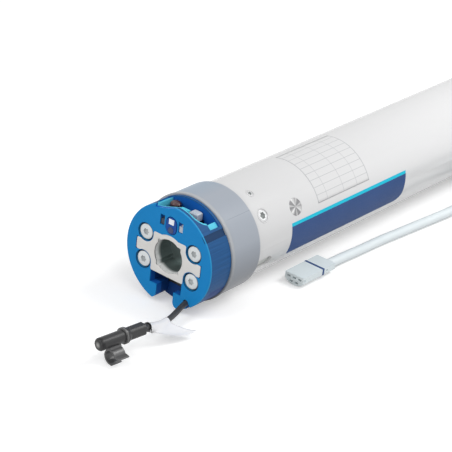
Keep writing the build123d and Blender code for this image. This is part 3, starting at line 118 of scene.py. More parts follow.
class Graph:
    """Thin wrapper round a node tree, with what the inputs of its surface shader will take."""

    def __init__(self, tree: bpy.types.NodeTree, output: str = "OutputMaterial") -> None:
        """Empty the tree and give it an output.

        Args:
            tree: node tree of a material or a world.
            output: kind of the output node.
        """
        self.tree = tree
        self.tree.nodes.clear()
        self.output = self.tree.nodes.new("ShaderNode" + output)
        self.coordinates = self.tree.nodes.new("ShaderNodeTexCoord")
        self.surface: dict[str, Value] = {}

    def make(self, kind: str, inputs: dict, result: int | str = 0, **settings: object) -> Socket:
        """Add a node, feed its inputs and pick one of its outputs.

        Args:
            kind: type of the node without its prefix.
            inputs: output socket, number or colour for each input.
            result: output that is wanted.
            **settings: properties of the node.

        Returns:
            The output socket.
        """
        node = self.tree.nodes.new("ShaderNode" + kind)
        for key, setting in settings.items():
            setattr(node, key, setting)
        for key, value in inputs.items():
            socket = node.inputs[key]
            if isinstance(value, Socket):
                self.tree.links.new(value, socket)
            elif socket.type == "RGBA":
                socket.default_value = (*value, 1.0)
            else:
                socket.default_value = value
        return node.outputs[result]

    def close(self, shader: Socket) -> None:
        """Join a shader to the tree's output."""
        self.tree.links.new(shader, self.output.inputs["Surface"])

    def math(self, operation: str, *values: Value) -> Socket:
        """Result of a math node on one value, or on several from left to right.

        Args:
            operation: name of the operation.
            *values: its operands.

        Returns:
            Output socket.
        """
        joined = self.make("Math", dict(enumerate(values[:2])), operation=operation)
        for value in values[2:]:
            joined = self.make("Math", {0: joined, 1: value}, operation=operation)
        return joined

    def times(self, *values: Value) -> Socket:
        """Product of two values or more."""
        return self.math("MULTIPLY", *values)

    def minus(self, first: Value, second: Value) -> Socket:
        """First value less the second."""
        return self.math("SUBTRACT", first, second)

    def above(self, value: Value, limit: float) -> Socket:
        """One where value > limit, zero elsewhere."""
        return self.math("GREATER_THAN", value, limit)

    def below(self, value: Value, limit: float) -> Socket:
        """One where value < limit, zero elsewhere."""
        return self.math("LESS_THAN", value, limit)

    def within(self, value: Value, low: float, high: float) -> Socket:
        """One where low < value < high, zero elsewhere."""
        return self.times(self.above(value, low), self.below(value, high))

    def radius(self, first: Value, second: Value) -> Socket:
        """Root of the sum of two squares."""
        return self.math("SQRT", self.math("ADD", self.times(first, first), self.times(second, second)))

    def split(self, kind: str) -> Sequence[Socket]:
        """The three axes of the Object or the UV coordinates."""
        return self.make("SeparateXYZ", {0: self.coordinates.outputs[kind]}).node.outputs

    def noise(self, grain: Grain, broader: float = 1.0, detail: float = 3.0) -> Socket:
        """Noise of a grain on object coordinates.

        Args:
            grain: scale and stretch of the noise.
            broader: how many times coarser it is.
            detail: octaves of the noise.

        Returns:
            Output socket.
        """
        scale, stretch = grain.value
        place = self.make("Mapping", {"Vector": self.coordinates.outputs["Object"], "Scale": stretch})
        return self.make("TexNoise", {"Vector": place, "Scale": scale / broader, "Detail": detail}, "Fac")

    def ramp(self, value: Value, start: float, end: float) -> Socket:
        """Zero up to start, one from end on, straight between them."""
        return self.make("MapRange", {"Value": value, "From Min": start, "From Max": end}, "Result")

    def spread(self, value: Value, low: float, high: float) -> Socket:
        """Map zero to one onto low to high."""
        return self.make("MapRange", {"Value": value, "To Min": low, "To Max": high}, "Result")

    def mix(self, share: Value, first: Value, second: Value) -> Socket:
        """Colour between the first, at a share of zero, and the second, at a share of one."""
        return self.make("Mix", {0: share, 6: first, 7: second}, 2, data_type="RGBA")

    def tint(self, share: Value, colour: Value) -> None:
        """Lay a colour over the surface by a share."""
        self.surface["Base Color"] = self.mix(share, self.surface["Base Color"], colour)

    def seen(self) -> Socket:
        """One for rays of the camera and for what mirrors and glass show of it, zero for other rays.

        Returns:
            Output socket.
        """
        rays = self.tree.nodes.new("ShaderNodeLightPath").outputs
        kinds = ("Camera", "Glossy", "Transmission")
        return self.math("MAXIMUM", *(rays[f"Is {kind} Ray"] for kind in kinds))


def new_material(name: str) -> tuple[bpy.types.Material, Graph]:
    """Material of a name and its empty graph.

    Args:
        name: name of the material.

    Returns:
        The material and the graph.
    """
    made = bpy.data.materials.new(name)
    made.use_nodes = True
    return made, Graph(made.node_tree)


class Zone:
    """Where a tint lies: inside ranges of measures in millimetres, degrees or shares of the UV map."""

    def __init__(self, tint: Colour, share: float = 1.0, **ranges: Pair) -> None:
        """Keep the tint, its share and its ranges.

        Args:
            tint: colour of the zone.
            share: how far it covers what lies below.
            **ranges: ends of each range under its measure; with fade_ before it, a ramp from zero to one.
        """
        self.tint = tint
        self.share = share
        self.ranges = ranges

    def mask(self, graph: Graph, measures: dict[str, Socket]) -> Socket:
        """The share inside all ranges, zero elsewhere.

        Args:
            graph: graph of the material.
            measures: the measures by name.

        Returns:
            Output socket.
        """
        parts: list[Value] = [self.share]
        for name, (start, end) in self.ranges.items():
            measure = name.removeprefix("fade_")
            value, size = measures[measure], UNITS.get(measure, MM)
            if measure != name:
                parts.append(graph.ramp(value, start * size, end * size))
                continue
            if start > -INF:
                parts.append(graph.above(value, start * size))
            if end < INF:
                parts.append(graph.below(value, end * size))
        return graph.times(*parts)


@dataclass(frozen=True)
class Finish:
    """A finish: one colour with a broad variation, a fine grain in gloss and relief, and tinted zones."""

    name: str
    colour: Colour
    shade: Colour
    roughness: float = 0.45
    metallic: float = 0.0
    grain: Grain = Grain.MOULDED
    depth: float = 0.02 * MM
    strength: float = 0.25
    coat: float = 0.0
    specular: float = 0.5
    zones: tuple[Zone, ...] = ()

    def material(self) -> bpy.types.Material:
        """Material of the finish.

        Returns:
            The new material.
        """
        made, graph = new_material(self.name)
        fine = graph.noise(self.grain)
        low = self.roughness * (1 - GLOSS_SPREAD)
        high = min(1.0, self.roughness * (1 + GLOSS_SPREAD))
        relief = {"Strength": self.strength, "Distance": self.depth, "Height": fine}
        graph.surface = {
            "Base Color": graph.mix(graph.noise(self.grain, BROADER, BROAD_DETAIL), self.shade, self.colour),
            "Metallic": self.metallic,
            "Specular IOR Level": self.specular,
            "Coat Weight": self.coat,
            "Coat Roughness": COAT_ROUGHNESS,
            "Roughness": graph.spread(fine, low, high),
            "Normal": graph.make("Bump", relief),
        }
        self.paint(graph)
        measures = self.measures(graph) if self.zones else {}
        for zone in self.zones:
            graph.tint(zone.mask(graph, measures), zone.tint)
        graph.close(graph.make("BsdfPrincipled", graph.surface))
        return made

    def paint(self, graph: Graph) -> None:
        """Lay nothing below the zones."""

    def measures(self, graph: Graph) -> dict[str, Socket]:
        """Axes of the object and of the UV map, and the distance from the motor axis."""
        axes = dict(zip("xyzuv", [*graph.split("Object"), *graph.split("UV")]))
        return {**axes, "radius": graph.radius(axes["x"], axes["z"])}


class Place(Enum):
    """Places of the head moulding with a tint laid over them, in the order in which they are laid: painted
    shade in the groove, the well, the deep notch, the gaps and the slot, and painted highlights along the
    face's edge, the ledges, the wave and the rib.
    """

    # Painted shade in the groove.
    GROOVE_SHADE = Zone((0.01, 0.04, 0.11), radius=(29.7, INF), turn=(36.0, 43.7))
    # Painted highlight along the face's outer edge.
    FACE_EDGE_HIGHLIGHT = Zone((0.025, 0.27, 0.55), y=(0.1, 0.8), radius=(29.75, INF))
    # Painted shade inside the well behind the face, darkest deeper in the notch.
    WELL_SHADE = Zone((0.008, 0.1, 0.4), y=(0.6, INF), radius=(-INF, 29.9))
    DEEP_NOTCH_SHADE = Zone((0.006, 0.045, 0.19), y=(4.5, INF), z=(-INF, -12.0))
    SCREW_SEAT = Zone((0.02, 0.24, 0.5), y=(0.02, 2.2), screw=(4.6, 5.5))
    # Painted shade in the gaps outside the ears and round the screws.
    SHADE_GAP_AT_EARS = Zone(GAP_SHADE_BLUE, y=(-INF, 0.4), z=(-3.8, 3.8), across=(21.95, 23.4))
    SHADE_GAP_AT_SCREWS = Zone(GAP_SHADE_BLUE, y=(-INF, 0.4), screw=(5.1, 5.44))
    # Painted highlights along the ledges, the wave's top edge and the rib.
    LEDGE_HIGHLIGHT = Zone(HIGHLIGHT_CYAN, y=(1.9, 15.2), z=(19.0, INF), radius=(29.15, 29.7))
    LEDGE_SIDE_HIGHLIGHT = Zone(HIGHLIGHT_CYAN, x=(-12.6, -12.3), y=(1.9, 15.2), z=(20.0, INF))
    WAVE_BEND_HIGHLIGHT = Zone(
        HIGHLIGHT_CYAN, x=(11.0, 18.4), y=(-INF, 8.0), z=(19.0, INF), radius=(27.0, INF), wave=(5.74, 6.89)
    )
    WAVE_STRAIGHT_HIGHLIGHT = Zone(HIGHLIGHT_CYAN, x=(-13.0, 11.1), y=(2.55, 3.4), z=(19.0, INF), radius=(27.0, INF))
    RIB_HIGHLIGHT = Zone(HIGHLIGHT_CYAN, x=(-2.4, 3.5), y=(9.2, 11.4), z=(22.5, 27.0))
    SLOT_SHADE = Zone((0.004, 0.012, 0.04), x=(5.4, 10.2), y=(14.0, INF), z=(15.7, 21.5))


@dataclass(frozen=True)
class ShellFinish(Finish):
    """Blue head moulding: bright face, sides painted darker as shade and streaked along the axis, and its
    places.
    """

    zones: tuple[Zone, ...] = tuple(place.value for place in Place)
    # Painted shade: the sides are painted darker than the face, streaked along the axis.
    side: Zone = Zone((0.012, 0.062, 0.17), y=(0.75, INF), radius=(29.95, INF))
    streak_gain: float = 1.7
    wave_centre: Pair = (11.7 * MM, 9.3 * MM)

    def paint(self, graph: Graph) -> None:
        """Lay the painted shade of the side, with its streaks.

        Args:
            graph: graph of the material.
        """
        tint = self.side.tint
        streaks = graph.noise(Grain.STREAKED, detail=BROAD_DETAIL)
        shaded_side_tone = graph.mix(streaks, tint, scaled(tint, self.streak_gain))
        graph.tint(self.side.mask(graph, self.measures(graph)), shaded_side_tone)

    def measures(self, graph: Graph) -> dict[str, Socket]:
        """Plain measures, |x|, angle, and distances from the nearest screw and the wave's centre.

        Args:
            graph: graph of the material.

        Returns:
            The measures by name.
        """
        plain = super().measures(graph)
        x, y, z = plain["x"], plain["y"], plain["z"]
        across, rise = graph.math("ABSOLUTE", x), graph.math("ABSOLUTE", z)
        screw_x, screw_z = scaled(SCREW_PLACE, MM)
        wave_x, wave_y = self.wave_centre
        screw = graph.radius(graph.minus(across, screw_x), graph.minus(rise, screw_z))
        wave = graph.radius(graph.minus(x, wave_x), graph.minus(y, wave_y))
        turn = graph.math("ARCTAN2", z, x)
        return {**plain, "across": across, "turn": turn, "screw": screw, "wave": wave}


@dataclass(frozen=True)
class CastFinish(Finish):
    """Pale cast face of the drive socket with its polished bore, painted darker inwards as shade."""

    # Painted reflection at the bore's mouth, painted shadow line at its left edge, and painted shade deeper
    # in the bore.
    mouth: Colour = (0.97, 0.98, 0.97)
    line: Colour = (0.1, 0.12, 0.12)
    wall: Zone = Zone((0.2, 0.24, 0.235), radius=(-INF, 11.6), y=(0.35, INF))
    flat_reach: float = 7.4 * MM
    round_shade_share: float = 0.75
    reflection_to_shade_depth: Pair = (3.0 * MM, 5.4 * MM)
    shadow_line_depth: Pair = (0.35 * MM, 0.75 * MM)
    polish: Pair = (0.7, 0.28)

    def paint(self, graph: Graph) -> None:
        """Lay the wall of the bore: a painted reflection at its mouth that gives way to painted shade deeper
        in and on its round part, a painted shadow line on the left, and polish it.

        Args:
            graph: graph of the material.
        """
        x, y, z = graph.split("Object")
        inside = self.wall.mask(graph, self.measures(graph))
        # Painted reflection on the flat left and bottom walls at the mouth, painted shade deeper in and on
        # the round part, painted shadow line at the left edge.
        farther = graph.math("MAXIMUM", graph.times(x, -1.0), graph.times(z, -1.0))
        round_shade = graph.times(graph.below(farther, self.flat_reach), self.round_shade_share)
        sunk = graph.math("MAXIMUM", graph.ramp(y, *self.reflection_to_shade_depth), round_shade)
        edge = graph.times(graph.within(y, *self.shadow_line_depth), graph.below(x, -self.flat_reach))
        graph.tint(inside, graph.mix(edge, graph.mix(sunk, self.mouth, self.wall.tint), self.line))
        polished = graph.times(inside, sunk)
        graph.surface["Metallic"] = graph.spread(polished, self.metallic, self.polish[0])
        graph.surface["Roughness"] = graph.spread(polished, self.roughness, self.polish[1])


@dataclass(frozen=True)
class RingFinish(Finish):
    """Satin finish of the drive ring, whose moulding seam is the upper half of z cos a = x sin a."""

    seam_angle: float = 49.0

    def measures(self, graph: Graph) -> dict[str, Socket]:
        """Plain measures, the distance from the seam's line and the way up and right.

        Args:
            graph: graph of the material.

        Returns:
            The measures by name.
        """
        plain = super().measures(graph)
        turn = math.radians(self.seam_angle)
        off = graph.minus(graph.times(plain["z"], math.cos(turn)), graph.times(plain["x"], math.sin(turn)))
        return {**plain, "off": off, "upper": graph.math("ADD", plain["x"], plain["z"])}


@dataclass(frozen=True)
class LacquerFinish(Finish):
    """White lacquer of the tube, with painted shade making it a little greyer near the head and painted
    light making it paler at the far end.
    """

    roughness: float = 0.25
    grain: Grain = Grain.LACQUERED
    depth: float = 0.03 * MM
    strength: float = 0.08
    coat: float = 0.2
    shade_and_light_tones: Pair = (0.84, 1.05)
    span: Pair = (50.0 * MM, 260.0 * MM)
    share: float = 0.75

    def paint(self, graph: Graph) -> None:
        """Lay the painted shade and light that change along the tube.

        Args:
            graph: graph of the material.
        """
        near, far = (scaled(self.colour, tone) for tone in self.shade_and_light_tones)
        graph.tint(self.share, graph.mix(graph.ramp(graph.split("Object")[1], *self.span), near, far))


@dataclass(frozen=True)
class PrintFinish(LacquerFinish):
    """Printed panel on a patch's own UV map: ruled, empty rows and columns."""

    ink: Colour = (0.36, 0.37, 0.39)
    cover: float = 0.75
    rows: float = 9.0
    columns: tuple[float, ...] = (0.18, 0.5, 0.76)
    frame: float = 0.012
    row_line: float = 0.6
    column_line: float = 0.5

    def paint(self, graph: Graph) -> None:
        """Lay the ruled lines over the lacquer.

        Args:
            graph: graph of the material.
        """
        super().paint(graph)
        u, v, _ = graph.split("UV")
        phase = graph.math("FRACT", graph.times(v, self.rows))
        lines = [graph.below(phase, self.frame * self.rows * self.row_line)]
        lines += [graph.within(u, at, at + self.frame * self.column_line) for at in self.columns]
        for side in (u, v):
            lines += [graph.below(side, self.frame), graph.above(side, 1 - self.frame)]
        graph.tint(graph.times(graph.math("MAXIMUM", *lines), self.cover), self.ink)


@dataclass(frozen=True)
class AerialFinish(Finish):
    """Black aerial, whose zones go by the way along its axis and the distance from it."""

    front: Point = (18.9 * MM, -73.4 * MM, -19.0 * MM)
    run: Pair = (0.1156, 0.9933)

    def measures(self, graph: Graph) -> dict[str, Socket]:
        """Way along the axis and distance from it.

        Args:
            graph: graph of the material.

        Returns:
            The measures by name.
        """
        x, y, z = (graph.minus(axis, start) for axis, start in zip(graph.split("Object"), self.front))
        ahead_x, ahead_y = self.run
        along = graph.math("ADD", graph.times(x, ahead_x), graph.times(y, ahead_y))
        aside = graph.minus(graph.times(x, ahead_y), graph.times(y, ahead_x))
        return {"along": along, "off": graph.radius(aside, z)}


@dataclass(frozen=True)
class FoilFinish(Finish):
    """Round foil seal with painted reflections: bright and dark beams by turns about its middle."""

    beams: tuple[int, int] = (3, 7)
    sharpness: float = 1.5
    gain: float = 0.6

    def paint(self, graph: Graph) -> None:
        """Brightness of the painted reflection is the sum, over both counts n, of max(0, sin(n + n a)) to a
        power.

        Args:
            graph: graph of the material.
        """
        share = graph.split("UV")[0]
        waves: list[Socket] = []
        for count in self.beams:
            turn = graph.math("ADD", graph.times(share, 2 * math.pi * count), float(count))
            wave = graph.math("MAXIMUM", graph.math("SINE", turn), 0.0)
            waves.append(graph.math("POWER", wave, self.sharpness))
        # Painted reflection: bright beams about the middle of the foil.
        bright = graph.times(graph.math("ADD", *waves), self.gain)
        graph.surface["Base Color"] = graph.mix(bright, self.shade, self.colour)


@dataclass(frozen=True)
class FloorFinish:
    """Pale floor: where the camera looks it is whiter than what it throws back."""

    albedo: float = 0.8
    bounce: float = 0.55
    glow: float = 0.33

    def material(self) -> bpy.types.Material:
        """Material of the floor.

        Returns:
            The new material.
        """
        made, graph = new_material("pale_floor")
        seen = graph.seen()
        tone = graph.mix(seen, (self.bounce,) * 3, (self.albedo,) * 3)
        diffuse = graph.make("BsdfDiffuse", {"Color": tone})
        emission = graph.make("Emission", {"Strength": graph.times(seen, self.glow)})
        graph.close(graph.make("AddShader", {0: diffuse, 1: emission}))
        return made


SHELL_BLUE = ShellFinish("shell_blue", (0.009, 0.228, 0.56), (0.008, 0.205, 0.51), 0.5, specular=0.12)
CAST_SILVER = CastFinish(
    "cast_silver", (0.7, 0.69, 0.67), (0.6, 0.59, 0.57), 0.5, 0.25, Grain.CAST, strength=0.35
)
FACE_SCREW = Finish("face_screw", (0.68, 0.71, 0.72), (0.6, 0.63, 0.64), 0.33, 0.3, Grain.TURNED, zones=(
    # Painted shade: the seat outside the head is dark, a shade line runs round the head's edge, and the
    # recess darkens inwards.
    Zone((0.12, 0.15, 0.18), u=(0.99, INF)),
    Zone((0.2, 0.24, 0.27), u=(0.93, 0.99)),
    Zone((0.3, 0.32, 0.33), 0.8, fade_v=(0.0, 1.0)),
))
TUBE_SCREW = Finish("tube_screw", (0.8, 0.81, 0.81), (0.72, 0.73, 0.74), 0.35, 0.2, Grain.TURNED, zones=(
    # The same three on the tube, where the seat is lacquered; the line round the head's edge and the
    # darkening of the recess are painted shade.
    Zone((0.66, 0.66, 0.665), u=(0.8, INF)),
    Zone((0.34, 0.35, 0.36), u=(0.74, 0.8)),
    Zone((0.03, 0.045, 0.04), 0.8, fade_v=(0.0, 1.0)),
))
RING_GREY = RingFinish(
    "ring_grey", (0.37, 0.4, 0.45), (0.27, 0.3, 0.345), 0.32,
    grain=Grain.LACQUERED, strength=0.1, coat=0.08, specular=0.3,
    zones=(
        # Bluish far top, paler lip, painted shade on the underside, moulding seam.
        Zone((0.2, 0.29, 0.39), fade_x=(4.0, -16.0)),
        Zone((0.37, 0.385, 0.405), y=(-INF, 19.55)),
        Zone((0.1, 0.108, 0.125), fade_z=(10.0, -24.0)),
        Zone((0.162, 0.18, 0.207), 0.8, off=(-0.07, 0.07), upper=(0.0, INF), y=(22.0, INF)),
    )
)
TUBE_WHITE = LacquerFinish("tube_white", (0.68, 0.68, 0.685), (0.66, 0.66, 0.665))
SCREW_RIM = LacquerFinish("screw_rim", (0.675, 0.675, 0.68), (0.655, 0.655, 0.66), 0.28, zones=(
    # Painted shade lines at the outer edge and the inner edge.
    Zone((0.33, 0.34, 0.35), 0.75, v=(0.87, INF)),
    Zone((0.33, 0.34, 0.35), 0.2625, v=(-INF, 0.1)),
))
PANEL_PRINT = PrintFinish("panel_print", (0.678, 0.678, 0.683), (0.658, 0.658, 0.663))
BAND_NAVY = Finish("band_navy", (0.026, 0.072, 0.22), (0.02, 0.058, 0.18), 0.5, specular=0.2)
BAND_CYAN = Finish("band_cyan", (0.0, 0.52, 0.7), (0.0, 0.47, 0.65), 0.5, specular=0.25)
SEAL_FOIL = FoilFinish("seal_foil", (0.6, 0.6, 0.6), (0.2, 0.2, 0.205), 0.38, 0.5, Grain.TURNED)
WINDOW_BLUE = Finish("window_blue", (0.006, 0.07, 0.33), (0.005, 0.06, 0.28), 0.4, specular=0.2)
LENS_MILK = Finish("lens_milk", (0.85, 0.88, 0.93), (0.8, 0.83, 0.9), 0.15, coat=0.5)
BUTTON_DARK = Finish("button_dark", (0.006, 0.022, 0.12), (0.005, 0.018, 0.09), 0.3, coat=0.3)
KNOB_RED = Finish("knob_red", (0.05, 0.01, 0.012), (0.03, 0.007, 0.009), 0.35, zones=(
    # Arm of the key behind the slot of the face, painted dark as shade.
    Zone((0.014, 0.022, 0.045), y=(-INF, 7.5)),
))
KEY_WHITE = Finish("key_white", (0.46, 0.5, 0.56), (0.4, 0.44, 0.5), 0.4)
BOARD_GREEN = Finish("board_green", (0.015, 0.12, 0.05), (0.01, 0.1, 0.04), 0.4)
NECK_GREY = Finish("neck_grey", (0.6, 0.62, 0.6), (0.52, 0.54, 0.52))
INNER_BLACK = Finish("inner_black", (0.015, 0.015, 0.017), (0.011, 0.011, 0.012), 0.5)
CONTACT_BRASS = Finish("contact_brass", (0.75, 0.56, 0.25), (0.65, 0.48, 0.2), 0.25, 1.0, Grain.TURNED)
IRON_DARK = Finish("iron_dark", (0.1, 0.1, 0.11), (0.07, 0.07, 0.08), 0.45, 0.9, Grain.TURNED)
COPPER_LACQUER = Finish("copper_lacquer", (0.6, 0.2, 0.08), (0.45, 0.14, 0.05), 0.3, 0.9, Grain.BRUSHED)
GROUND_STEEL = Finish("ground_steel", (0.5, 0.5, 0.52), (0.42, 0.42, 0.44), 0.22, 1.0, Grain.TURNED)
CAST_ZINC = Finish("cast_zinc", (0.42, 0.43, 0.45), (0.34, 0.35, 0.37), 0.45, 0.9, Grain.CAST)
BUSH_BRONZE = Finish("bush_bronze", (0.42, 0.25, 0.1), (0.33, 0.19, 0.07), 0.45, 0.9, Grain.CAST)
GEAR_NATURAL = Finish("gear_natural", (0.75, 0.73, 0.65), (0.7, 0.68, 0.6))
AERIAL_BLACK = AerialFinish(
    "aerial_black", (0.03, 0.03, 0.031), (0.02, 0.02, 0.021), 0.4,
    grain=Grain.SOFT, strength=0.4, depth=0.04 * MM, coat=0.06, specular=0.3,
    zones=(
        # Dark edge of the tip, painted highlight on the collar, painted highlight on the middle of the tip.
        Zone((0.008, 0.008, 0.009), along=(-1.1, 0.9)),
        Zone((0.13, 0.13, 0.13), along=(15.4, 16.4)),
        Zone((0.34, 0.34, 0.33), fade_off=(2.0, 0.2), along=(-INF, -1.2)),
    )
)
CLIP_BLACK = Finish(
    "clip_black", (0.085, 0.085, 0.087), (0.06, 0.06, 0.062), 0.38, grain=Grain.SOFT, coat=0.15
)
LEAD_BLACK = Finish("lead_black", (0.04, 0.04, 0.042), (0.028, 0.029, 0.03), 0.5, grain=Grain.SOFT)
TAG_WHITE = Finish("tag_white", (0.8, 0.8, 0.81), (0.74, 0.74, 0.76), 0.35, coat=0.3)
PLUG_GREY = Finish("plug_grey", (0.72, 0.79, 0.81), (0.65, 0.72, 0.74), 0.42)
CABLE_GREY = Finish("cable_grey", (0.74, 0.8, 0.82), (0.68, 0.74, 0.76), grain=Grain.SOFT, strength=0.35)
CORE_COLOURS = (
    Finish("core_brown", (0.12, 0.05, 0.02), (0.09, 0.035, 0.015), 0.4),
    Finish("core_blue", (0.02, 0.08, 0.4), (0.015, 0.06, 0.33), 0.4),
    Finish("core_black", (0.015, 0.015, 0.016), (0.01, 0.01, 0.011), 0.4),
    Finish("core_green", (0.05, 0.3, 0.05), (0.3, 0.4, 0.03), 0.4, grain=Grain.BRUSHED),
)


def link(name: str, data: bpy.types.ID) -> bpy.types.Object:
    """New object of the scene with its data.

    Args:
        name: name of the object.
        data: mesh, curve, light or camera.

    Returns:
        The object.
    """
    made = bpy.data.objects.new(name, data)
    bpy.context.scene.collection.objects.link(made)
    return made


class Workshop:
    """Makes pieces that ride on the base and keeps one material for each finish."""

    def __init__(self, nodes: dict[str, bpy.types.Object]) -> None:
        """Keep the CAD nodes by name."""
        self.nodes = nodes
        self.made: dict[str, bpy.types.Material] = {}

    def material(self, finish: Finish) -> bpy.types.Material:
        """Material of a finish, made once."""
        if finish.name not in self.made:
            self.made[finish.name] = finish.material()
        return self.made[finish.name]

    def dress(self, coats: dict[Finish, str]) -> None:
        """Give CAD nodes their finishes.

        Args:
            coats: for each finish its nodes, with a blank between two names.
        """
        for finish, names in coats.items():
            for name in names.split():
                mesh = self.nodes[name].data
                mesh.materials.clear()
                mesh.materials.append(self.material(finish))
            log.info("%s on %s", finish.name, names)

    def mount(self, made: bpy.types.Object, finish: Finish, stands_for: str) -> None:
        """Give a new piece its finish and its body, and hide what it stands for.

        Args:
            made: the piece.
            finish: finish of the piece.
            stands_for: CAD nodes that it replaces, with a blank between two names.
        """
        made.data.materials.append(self.material(finish))
        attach(made, BASE)
        if stands_for:
            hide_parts(*stands_for.split())
        log.info("piece %s stands for %s", made.name, stands_for or "itself")

    def piece(
        self, name: str, points: Array, faces: Sequence[Array], finish: Finish, slot: str,
        stands_for: str = "", uv: Array | None = None
    ) -> bpy.types.Object:
        """Make a smooth mesh piece.

        Args:
            name: name of the piece.
            points: vertices on a grid or in rows.
            faces: blocks of corner indices, one face to a row.
            finish: finish of the piece.
            slot: material slot of the record; not used.
            stands_for: CAD nodes that it replaces.
            uv: map place of each vertex.

        Returns:
            The new object.
        """
        mesh = bpy.data.meshes.new(name)
        whole = [face for block in faces for face in block.tolist()]
        mesh.from_pydata(points.reshape(-1, 3).tolist(), [], whole)
        mesh.validate()
        if uv is not None:
            ends = np.empty(len(mesh.loops), np.int32)
            mesh.loops.foreach_get("vertex_index", ends)
            layer = mesh.uv_layers.new(name="patch")
            layer.data.foreach_set("uv", uv.reshape(-1, 2)[ends].astype(np.float32).ravel())
        mesh.polygons.foreach_set("use_smooth", np.ones(len(mesh.polygons), bool))
        mesh.update()
        made = link(name, mesh)
        self.mount(made, finish, stands_for)
        return made

    def cord(
        self, name: str, points: Sequence[Point], radius: float, finish: Finish, slot: str, stands_for: str
    ) -> bpy.types.Object:
        """Make a round cord along one smooth spline.

        Args:
            name: name of the cord.
            points: control points.
            radius: radius of the cord.
            finish: finish of the cord.
            slot: material slot of the record; not used.
            stands_for: CAD nodes that it replaces.

        Returns:
            The curve object.
        """
        curve = spline_curve(name, points)
        curve.bevel_depth = radius
        curve.bevel_resolution = BEVEL_STEPS
        curve.use_fill_caps = True
        made = link(name, curve)
        self.mount(made, finish, stands_for)
        return made


@dataclass
class Assembly:
    """Part of the object that a workshop builds."""

    shop: Workshop


def unit(vectors: Array) -> Array:
    """Vectors divided by their lengths, which lie along the last axis."""
    return vectors / np.maximum(np.linalg.norm(vectors, axis=-1, keepdims=True), TINY)


def grid_faces(rows: int, columns: int, wrap: bool = False) -> Array:
    """Quads of a grid of rows by columns vertices.

    Args:
        rows: vertices along the first parameter.
        columns: vertices along the second parameter.
        wrap: whether the second parameter closes on itself.

    Returns:
        Corner indices, four to a row.
    """
    first = np.arange(rows - 1)[:, None] * columns
    second = np.arange(columns if wrap else columns - 1)[None, :]
    after = (second + 1) % columns
    ends = (first + second, first + after, first + columns + after, first + columns + second)
    return np.stack([end.ravel() for end in ends], axis=1)


def on_tube(angle: Array, y: Array, radius: float | Array) -> Array:
    """Points at an angle in degrees and a height along the motor axis: (r cos a, y, r sin a)."""
    turn = np.radians(angle)
    return np.stack(np.broadcast_arrays(radius * np.cos(turn), y, radius * np.sin(turn)), axis=-1)


def round_patch(y: float, angle: float, distance: Array, turn: Array, lift: float | Array) -> Array:
    """Points on the tube round a centre: height y + d cos t, angle a + d sin t over the tube's radius."""
    around = angle + np.degrees(distance * np.sin(turn) / TUBE_RADIUS)
    return on_tube(around, y + distance * np.cos(turn), TUBE_RADIUS + lift)


def thicken(made: bpy.types.Object, thickness: float, offset: float = -1.0) -> None:
    """Give an open sheet a wall.

    Args:
        made: the sheet.
        thickness: thickness of the wall.
        offset: -1 puts it below the surface, 0 on both sides.
    """
    wall = made.modifiers.new("wall", "SOLIDIFY")
    wall.thickness = thickness
    wall.offset = offset


def weld(made: bpy.types.Object) -> None:
    """Merge doubled points of a piece, turn all faces outwards and shade it smooth by angle.

    Args:
        made: the piece.
    """
    work = bmesh.new()
    work.from_mesh(made.data)
    bmesh.ops.remove_doubles(work, verts=work.verts, dist=MERGE_REACH)
    bmesh.ops.dissolve_degenerate(work, dist=SLIVER_REACH, edges=work.edges)
    bmesh.ops.recalc_face_normals(work, faces=work.faces)
    for edge in work.edges:
        if len(edge.link_faces) == 2 and edge.calc_face_angle(0.0) > SHARP_ANGLE:
            edge.smooth = False
    work.to_mesh(made.data)
    work.free()
    made.data.update()


@dataclass(frozen=True)
class TubePrint:
    """Thin printed patch that follows the tube between two heights and two angles in degrees."""

    name: str
    finish: Finish
    slot: str
    span: Pair
    angles: Pair
    corner: float = 0.0
    lift: float = 0.03 * MM
    rows: int = 60
    columns: int = 24

    def build(self, shop: Workshop) -> None:
        """Make the patch, its lower edge raised by a quarter circle towards its end.

        Args:
            shop: workshop that makes the piece.
        """
        start, end = self.span
        low, high = self.angles
        ease = 0.5 - 0.5 * np.cos(math.pi * np.linspace(0, 1, self.rows))[:, None]
        y = start + (end - start) * ease
        if self.corner:
            depth = np.clip(1 - (end - y) / self.corner, 0, 1)
            low = low + np.degrees(self.corner * (1 - np.sqrt(1 - depth ** 2)) / TUBE_RADIUS)
        v = np.linspace(0, 1, self.columns)
        points = on_tube(low + (high - low) * v, y, TUBE_RADIUS + self.lift)
        uv = np.stack(np.broadcast_arrays(ease, v), axis=-1)
        faces = grid_faces(self.rows, self.columns)[:, ::-1]
        thicken(shop.piece(self.name, points, [faces], self.finish, self.slot, uv=uv), self.lift)


